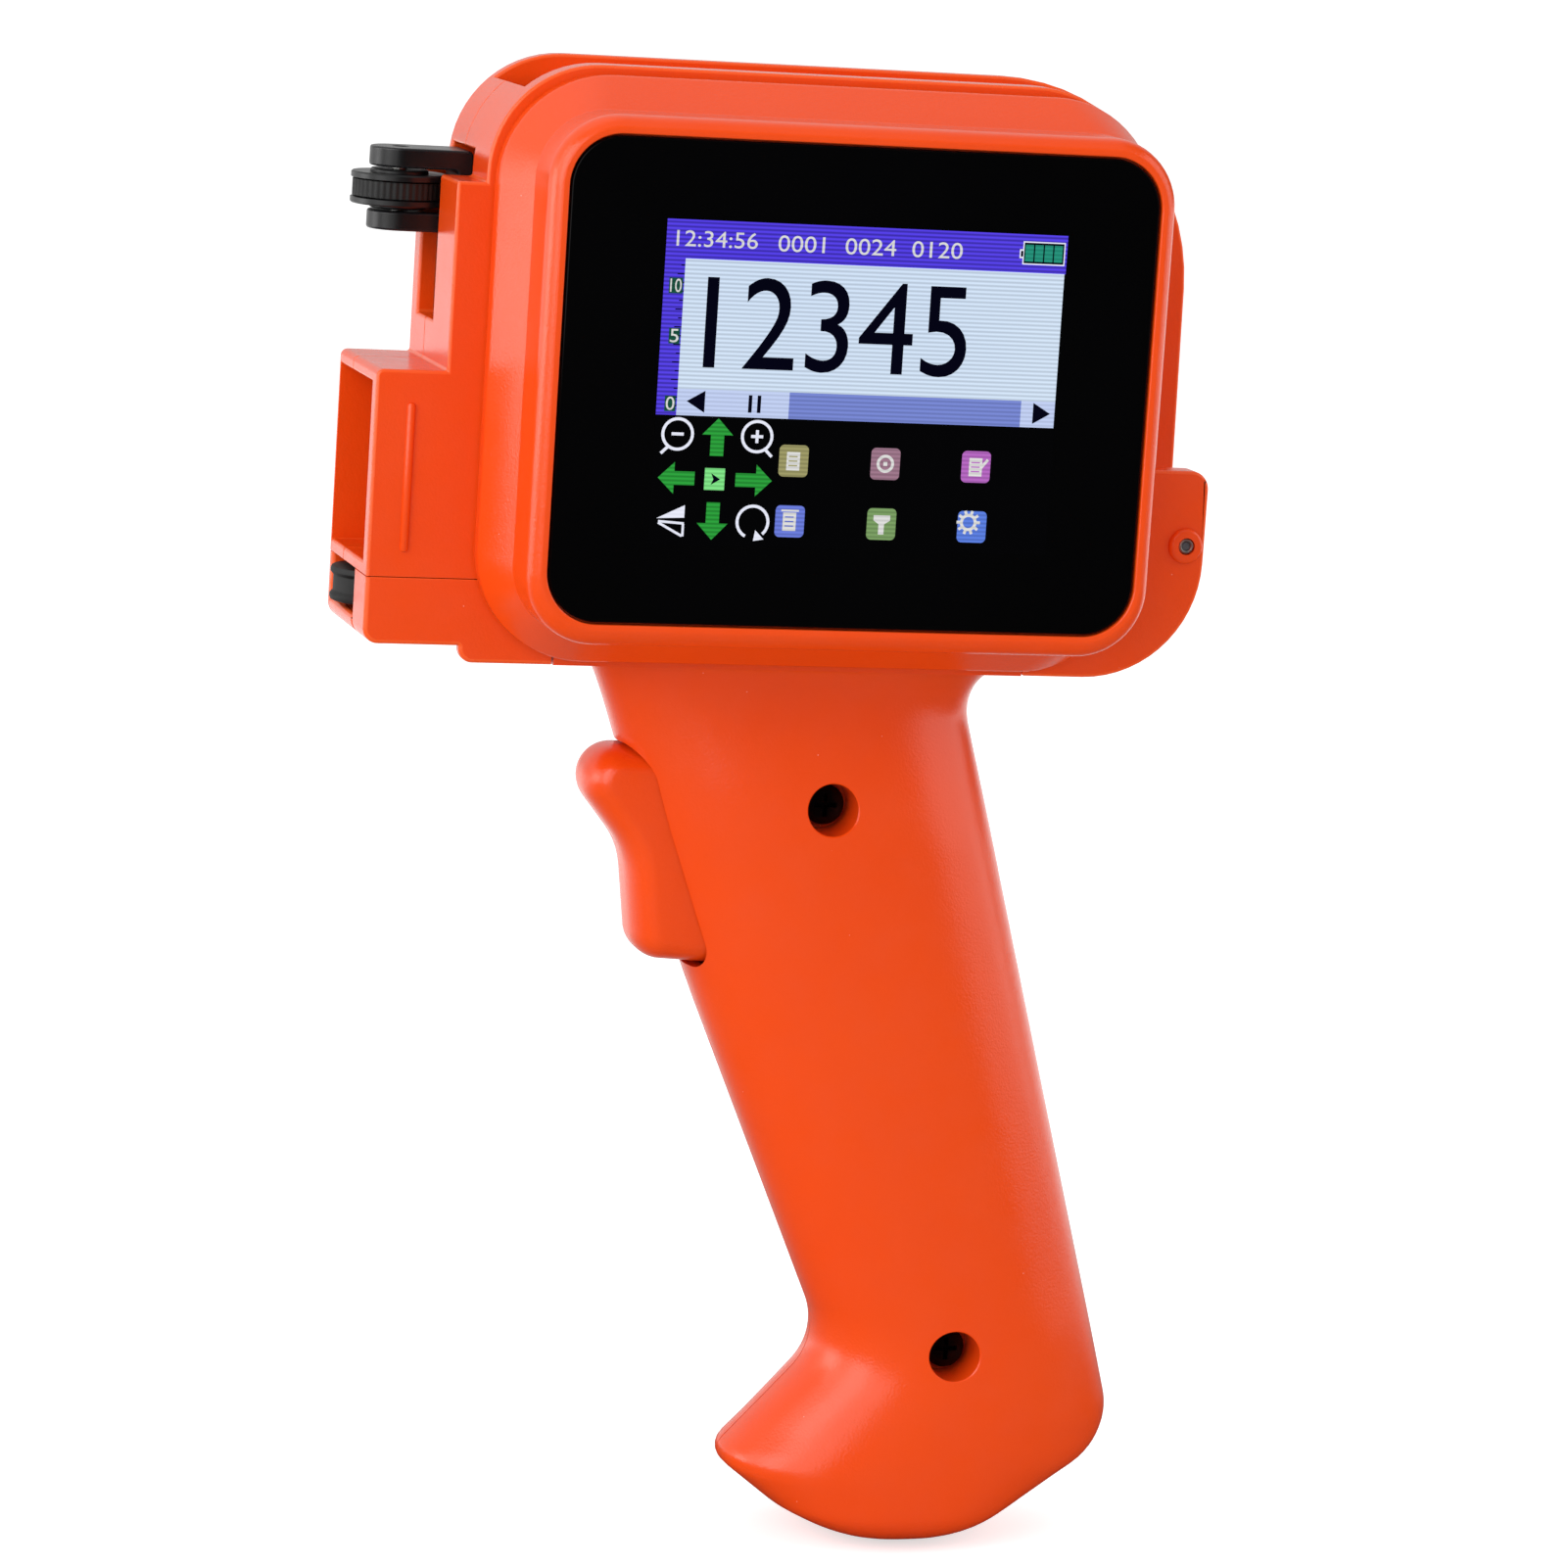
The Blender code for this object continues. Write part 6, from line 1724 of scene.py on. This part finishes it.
    def solid(self, inset: float, lowest: float, gap: float, top: float) -> Shape:
        """Loft the grip's outside or its hollow.

        Args:
            inset: How far it is drawn in.
            lowest: Height of its last section.
            gap: Largest distance between sections.
            top: Level of its upper end.

        Returns:
            A closed shape.
        """
        rings = [self.ring(L.head_bottom, inset, top)]
        rings += [self.ring(height, inset, height) for height in self.levels(lowest, gap)]
        return loft(rings)

    def bore(self, spot: Flat) -> Shape:
        """Make the screw bore, with a narrow chamfer that follows the skin.

        Args:
            spot: Where its axis passes.

        Returns:
            A shape to cut out.
        """
        wide = circle(*spot, self.bore_radius + self.bore_rim, self.bore_sides)
        narrow = circle(*spot, self.bore_radius, self.bore_sides)
        return loft([Along.Y.ring(wide, 0.0),
                     [Along.Y.point(*point, self.skin(*point) - self.rim_sunk) for point in wide],
                     [Along.Y.point(*point, self.skin(*point) + self.bore_rim) for point in narrow],
                     Along.Y.ring(narrow, self.bore_floor)])

    def half(self, side: str) -> Shape:
        """Cut one half out of the grip.

        Args:
            side: front or back.

        Returns:
            The half with its saddle, boss and bores.
        """
        front = side == "front"
        seam = self.parting - L.hairline if front else self.parting + L.hairline
        near, far = (0.0, seam) if front else (seam, L.through)
        saddle = (L.head_front, seam) if front else (seam, L.head_back)
        outer = self.solid(0.0, self.lowest + self.tip_left, self.skin_step, L.head_bottom + L.bite)
        left, right = self.room
        keep = cuboid((left, near, self.lowest - L.past), (right, far, L.saddle_top))
        body = combined(outer, "INTERSECT", keep)
        body = fused(body, cuboid((L.saddle_left, saddle[0], L.head_bottom),
                                  (L.saddle_right, saddle[1], L.saddle_top)))
        hollow = self.solid(self.wall, self.lowest + 3 * self.wall, self.hollow_step, L.saddle_top + L.past)
        slot = prism(rounded(self.slot_corners), *self.slot_reach, Along.X)
        body = cut(body, hollow, slot)
        bosses = []
        bores = [bar(self.pin_bore, L.trigger_pin, *self.pin_bore_span, sides=32)]
        for spot in self.screws.values():
            skin, back_skin = L.grip_mid - self.depth(spot[1]), L.grip_mid + self.depth(spot[1])
            bosses.append(bar(self.front_boss, spot, skin + self.wall - L.bite, seam) if front
                          else bar(self.back_boss, spot, seam, back_skin - self.wall + L.bite))
            bores.append(bar(self.screw_hole, spot, skin - L.past, self.screw_hole_end, sides=32))
            if front:
                bores.append(self.bore(spot))
        bosses.append(bar(self.pin_boss, L.trigger_pin, *self.pin_walls[side], sides=32))
        return cut(fused(body, *bosses), *bores)

    def build(self) -> None:
        """Build both halves and their screws."""
        for side in ("front", "back"):
            place(f"grip_{side}", self.half(side), Slot.ORANGE, [f"grip_{side}_half"])
        self.screw.drive(self.screws)


@dataclass
class Trigger:
    """Finger trigger with a round knob above and a curved toe below."""

    half_width: float = 7.7
    path_corners: Sequence[Corner] = (
        (-9.6, -55.6, 0.0), (-33.5, -55.3, 5.0), (-21.2, -70.5, 12.0), (-19.1, -86.3, 4.6),
        (-5.5, -87.1, 0.0),
    )
    back_corners: Sequence[Flat] = ((-5.5, -76.2), (-9.6, -76.2))
    taper_span: Flat = (-87.1, -55.3)
    taper: float = 0.075
    round_width: float = 6.8
    round_depth: float = 3.6
    steps: int = 12
    pin_bore: float = 1.15

    def section(self, path: Sequence[Flat], margin: float, depth: float) -> Ring:
        """Outline at a distance from a side face, drawn in where that side is rounded off.

        Args:
            path: The exposed outline, from the top of the knob to the end of the toe.
            margin: Distance from the nearer side face.
            depth: Depth of the section.

        Returns:
            The ring.
        """
        ring = []
        last = len(path) - 1
        for index, point in enumerate(path):
            ahead = (Vector(path[min(index + 1, last)]) - Vector(path[max(index - 1, 0)])).normalized()
            inward = Vector((-ahead.y, ahead.x))
            left = 1 - min(margin / self.round_width, 1.0)
            spot = Vector(point) + inward * self.round_depth * (1 - math.sqrt(1 - left * left))
            ring.append(self.tapered(*spot, depth))
        return ring + [self.tapered(*corner, depth) for corner in self.back_corners]

    def tapered(self, across: float, up: float, depth: float) -> Vector:
        """Place a point of the trigger, which narrows a little upwards.

        Args:
            across: The place to the right.
            up: The place upwards.
            depth: Depth before the taper.

        Returns:
            The point.
        """
        low, high = self.taper_span
        narrow = 1 - self.taper * (up - low) / (high - low)
        return Along.Y.point(across, up, L.grip_mid + (depth - L.grip_mid) * narrow)

    def build(self) -> None:
        """Build the trigger."""
        path = rounded(self.path_corners)
        margins = [margin for _, margin in round_over(self.round_width, self.steps)]
        near, far = L.grip_mid - self.half_width, L.grip_mid + self.half_width
        rings = [self.section(path, margin, near + margin) for margin in margins]
        rings += [self.section(path, margin, far - margin) for margin in reversed(margins)]
        lever = cut(loft(rings), bar(self.pin_bore, L.trigger_pin, 0.0, L.through, sides=32))
        place("finger_lever", lever, Slot.ORANGE, ["trigger"], Body.TRIGGER)


@dataclass
class SideControls:
    """Charge socket and power button in the right wall of the housing."""

    wall: float = 44.8
    socket_spot: Flat = (5.8, -10.0)
    socket_half: Flat = (1.4, 4.5)
    socket_corner: float = 1.38
    socket_sunk: float = 0.2
    socket_length: float = 7.0
    cavity_half: Flat = (1.05, 4.15)
    cavity_corner: float = 1.04
    cavity_length: float = 6.0
    tongue_half: Flat = (0.35, 3.3)
    tongue_corner: float = 0.3
    tongue_span: Flat = (6.1, 0.8)
    button_spot: Flat = (6.7, 10.0)
    button_half: Flat = (1.7, 4.0)
    button_corner: float = 1.2
    button_proud: float = 0.6
    button_length: float = 3.4
    ridge_end: Sequence[Flat] = ((0.1, 2.0), (0.3, 1.8))
    ridge_sunk: float = 0.05

    def block(self, spot: Flat, half: Flat, corner: float, near: float, far: float) -> Shape:
        """Make a rounded block across the wall, centred on a spot in depth and height."""
        left, right, bottom, top = spot[0] - half[0], spot[0] + half[0], spot[1] - half[1], spot[1] + half[1]
        return prism(rectangle(left, right, bottom, top, corner), near, far, Along.X)

    def socket(self) -> None:
        """Build the socket's folded shell with the tongue inside."""
        mouth = self.wall - self.socket_sunk
        spot = self.socket_spot
        shell = self.block(spot, self.socket_half, self.socket_corner, mouth - self.socket_length, mouth)
        floor = mouth - self.cavity_length
        cavity = self.block(spot, self.cavity_half, self.cavity_corner, floor, mouth + L.past)
        place("socket_shell", cut(shell, cavity), Slot.STEEL, ["charge_socket"])
        root, tip = (mouth - inset for inset in self.tongue_span)
        tongue = self.block(spot, self.tongue_half, self.tongue_corner, root, tip)
        place("socket_tongue", tongue, Slot.BLACK)

    def button(self) -> None:
        """Build the power button with a raised bar to feel for."""
        face = self.wall + self.button_proud
        through, height = self.button_spot
        root = face - self.button_length
        cap = self.block(self.button_spot, self.button_half, self.button_corner, root, face)
        place("button_cap", flattened(cap), Slot.BLACK, ["power_button"], Body.BUTTON, L.small_edge)
        end = [(radius, height - reach) for radius, reach in self.ridge_end]
        ridge = turned(mirrored(end, height, height), (face - self.ridge_sunk, through), Along.Z, 20)
        place("button_ridge", ridge, Slot.BLACK, body=Body.BUTTON)

    def build(self) -> None:
        """Build the socket and the button."""
        self.socket()
        self.button()


@dataclass
class Insides:
    """Frame nodes that keep their own shape and take a finish here."""

    nodes: Mapping[str, Slot] = field(default_factory=lambda: {
        "lcd_module": Slot.GREY, "main_board": Slot.LAMINATE, "power_switch": Slot.BLACK,
        "trigger_switch": Slot.BLACK, "switch_plunger": Slot.GREY, "battery_cell": Slot.SLEEVE,
        "trigger_pin": Slot.STEEL, "bracket_pin": Slot.STEEL, "nose_roller_pin": Slot.STEEL,
        **{f"board_screw_{index}": Slot.DARK_STEEL for index in range(1, 5)},
    })

    def build(self) -> None:
        """Give each node its finish."""
        for name, slot in self.nodes.items():
            node = frame["nodes"][name]
            node.data.materials.clear()
            node.data.materials.append(SLOT_FINISHES[slot].material())
            LOG.info("%s keeps its shape: %s", name, SLOT_FINISHES[slot].name)


@dataclass
class Studio:
    """White floor, soft lights and the camera."""

    floor_half: float = 30.0
    dark_room: float = 0.02
    light_aim: Place = (0.0, 0.0, 0.12)
    floor_glow: float = 0.62
    floor_colour: str = "#E2E2E2"
    sky_diffuse: float = 0.632
    mirror_floor: Place = (0.0, 0.4, 0.96)
    mirror_sky: Place = (0.25, 0.8, 0.72)
    softboxes: Sequence[tuple[str, Place, float, float]] = (
        ("left_softbox", (-1.5, -0.5, 0.6), 1.6, 10.3), ("left_front_softbox", (-1.1, -1.1, 0.7), 1.6, 11.2),
        ("right_softbox", (1.6, -0.3, 0.7), 1.6, 9.0), ("overhead_softbox", (0.0, -0.3, 1.7), 1.6, 2.1),
    )
    cards: Sequence[tuple[str, Place, float, float]] = (
        ("left_back_card", (-0.8, 0.34, 0.2), 0.5, 0.3), ("left_card", (-1.15, 0.24, 0.18), 0.5, 1.7),
    )
    sky_lean: Place = (-0.45, 0.9, 0.4)
    floor_lean: Place = (0.0, 1.0, 0.0)
    camera_place: Place = (-235.08, -801.12, 86.18)
    camera_right: Place = (0.9626, -0.2629, 0.0649)
    camera_up: Place = (-0.0175, 0.1787, 0.9838)
    lens: float = 139.70
    sensor: float = 36.0

    def kept(self, tree: Tree, source: str, lean: Place, span: Place) -> Socket:
        """Dim the studio in front of the printer for reflections, as a dark room behind a camera does.

        Args:
            tree: Node tree of the floor or the sky.
            source: Name of the coordinates to read.
            lean: Direction that reflections grow brighter in.
            span: Where, along that direction, reflections rise from dark to bright, and how bright.

        Returns:
            Output socket that is 1 except to glossy rays that meet the front.
        """
        path = add_node(tree, "ShaderNodeLightPath")
        where = add_node(tree, "ShaderNodeTexCoord")
        along = add_node(tree, "ShaderNodeVectorMath", {"operation": "DOT_PRODUCT", 1: lean},
                         {0: where.outputs[source]})
        dark, bright, level = span
        behind = add_node(tree, "ShaderNodeMapRange",
                          {"interpolation_type": "SMOOTHSTEP", "From Min": dark, "From Max": bright,
                           "To Min": self.dark_room, "To Max": level}, {"Value": along.outputs["Value"]})
        return add_node(tree, "ShaderNodeMix", {2: 1.0}, {0: path.outputs["Is Glossy Ray"],
                                                          3: behind.outputs[0]}).outputs[0]

    def seen(self, tree: Tree) -> Socket:
        """Tell rays that show a surface from rays that only light one.

        Args:
            tree: Node tree of the floor or the sky.

        Returns:
            Output socket that is 1 for camera, glossy and transmitted rays.
        """
        path = add_node(tree, "ShaderNodeLightPath")
        some = add_node(tree, "ShaderNodeMath", {"operation": "MAXIMUM"},
                        {0: path.outputs["Is Camera Ray"], 1: path.outputs["Is Glossy Ray"]})
        return add_node(tree, "ShaderNodeMath", {"operation": "MAXIMUM"},
                        {0: some.outputs[0], 1: path.outputs["Is Transmission Ray"]}).outputs[0]

    def floor(self) -> None:
        """Lay the pale floor, which glows towards the camera and keeps the printer's shadow."""
        mesh = bpy.data.meshes.new("studio_floor")
        half = self.floor_half
        corners = [(-half, -half, 0.0), (half, -half, 0.0), (half, half, 0.0), (-half, half, 0.0)]
        mesh.from_pydata(corners, [], [(0, 1, 2, 3)])
        ground = show("studio_floor", mesh)
        # Matt white vinyl: even and pale, with no gloss of its own
        paint = bpy.data.materials.new("white_studio_vinyl")
        paint.use_nodes = True
        tree = paint.node_tree
        tree.nodes.clear()
        glow = add_node(tree, "ShaderNodeMath", {"operation": "MULTIPLY", 1: self.floor_glow},
                        {0: self.seen(tree)})
        light = add_node(tree, "ShaderNodeEmission", links={"Strength": glow.outputs[0]})
        matt = add_node(tree, "ShaderNodeBsdfDiffuse", {"Color": linear(self.floor_colour)})
        both = add_node(tree, "ShaderNodeAddShader", links={0: light.outputs[0], 1: matt.outputs[0]})
        dark = add_node(tree, "ShaderNodeEmission", {"Strength": 0.0})
        mirror = self.kept(tree, "Object", self.floor_lean, self.mirror_floor)
        shown = add_node(tree, "ShaderNodeMixShader",
                         links={0: mirror, 1: dark.outputs[0], 2: both.outputs[0]})
        add_node(tree, "ShaderNodeOutputMaterial", links={"Surface": shown.outputs[0]})
        mesh.materials.append(paint)

    def sky(self) -> None:
        """Surround the scene with white, softer where it only lights."""
        world = bpy.data.worlds.new("studio_sky")
        world.use_nodes = True
        tree = world.node_tree
        tree.nodes.clear()
        level = add_node(tree, "ShaderNodeMapRange", {"To Min": self.sky_diffuse, "To Max": 1.0},
                         {"Value": self.seen(tree)})
        mirror = self.kept(tree, "Generated", self.sky_lean, self.mirror_sky)
        shown = add_node(tree, "ShaderNodeMath", {"operation": "MULTIPLY"}, {0: level.outputs[0], 1: mirror})
        back = add_node(tree, "ShaderNodeBackground", {"Color": linear("#FFFFFF")},
                        {"Strength": shown.outputs[0]})
        add_node(tree, "ShaderNodeOutputWorld", links={"Surface": back.outputs[0]})
        world.cycles.sampling_method = "NONE"
        bpy.context.scene.world = world

    def softbox(self, name: str, spot: Place, size: float, power: float) -> Thing:
        """Hang a square soft light that faces the printer.

        Args:
            name: Name of the light.
            spot: Its place in metres.
            size: Its side in metres.
            power: Its power in watts.

        Returns:
            The light.
        """
        lamp = bpy.data.lights.new(name, "AREA")
        lamp.size = size
        lamp.energy = power
        holder = show(name, lamp)
        aim = Vector(self.light_aim) - Vector(spot)
        holder.matrix_world = Matrix.Translation(spot) @ aim.to_track_quat("-Z", "Y").to_matrix().to_4x4()
        return holder

    def camera(self) -> None:
        """Stand the camera where the picture was taken from."""
        right, up = Vector(self.camera_right).normalized(), Vector(self.camera_up)
        back = right.cross(up).normalized()
        up = back.cross(right)
        turn = Matrix((right, up, back)).transposed().to_4x4()
        lens = bpy.data.cameras.new("studio_camera")
        lens.lens = self.lens
        lens.sensor_width = self.sensor
        lens.sensor_fit = "HORIZONTAL"
        holder = show("studio_camera", lens)
        holder.matrix_world = Matrix.Translation(TO_FRAME @ Vector(self.camera_place)) @ turn
        bpy.context.scene.camera = holder

    def build(self) -> None:
        """Set up the studio."""
        bpy.context.scene.view_settings.view_transform = "Standard"
        self.camera()
        self.floor()
        self.sky()
        for softbox in self.softboxes:
            self.softbox(*softbox)
        for card in self.cards:
            shine = self.softbox(*card)
            shine.visible_diffuse = False
            shine.visible_camera = False


def main() -> None:
    """Build the studio and every sub-assembly in order."""
    logging.basicConfig(level=logging.INFO, format="%(message)s")
    Studio().build()
    housing = FrontHousing()
    housing.build()
    TouchGlass(housing).build()
    ScreenArt().build()
    SideControls().build()
    HeadShells().build()
    HingeAndDoor().build()
    NoseFoot().build()
    Encoder().build()
    Grip().build()
    Trigger().build()
    Insides().build()


if __name__ == "__main__":
    main()
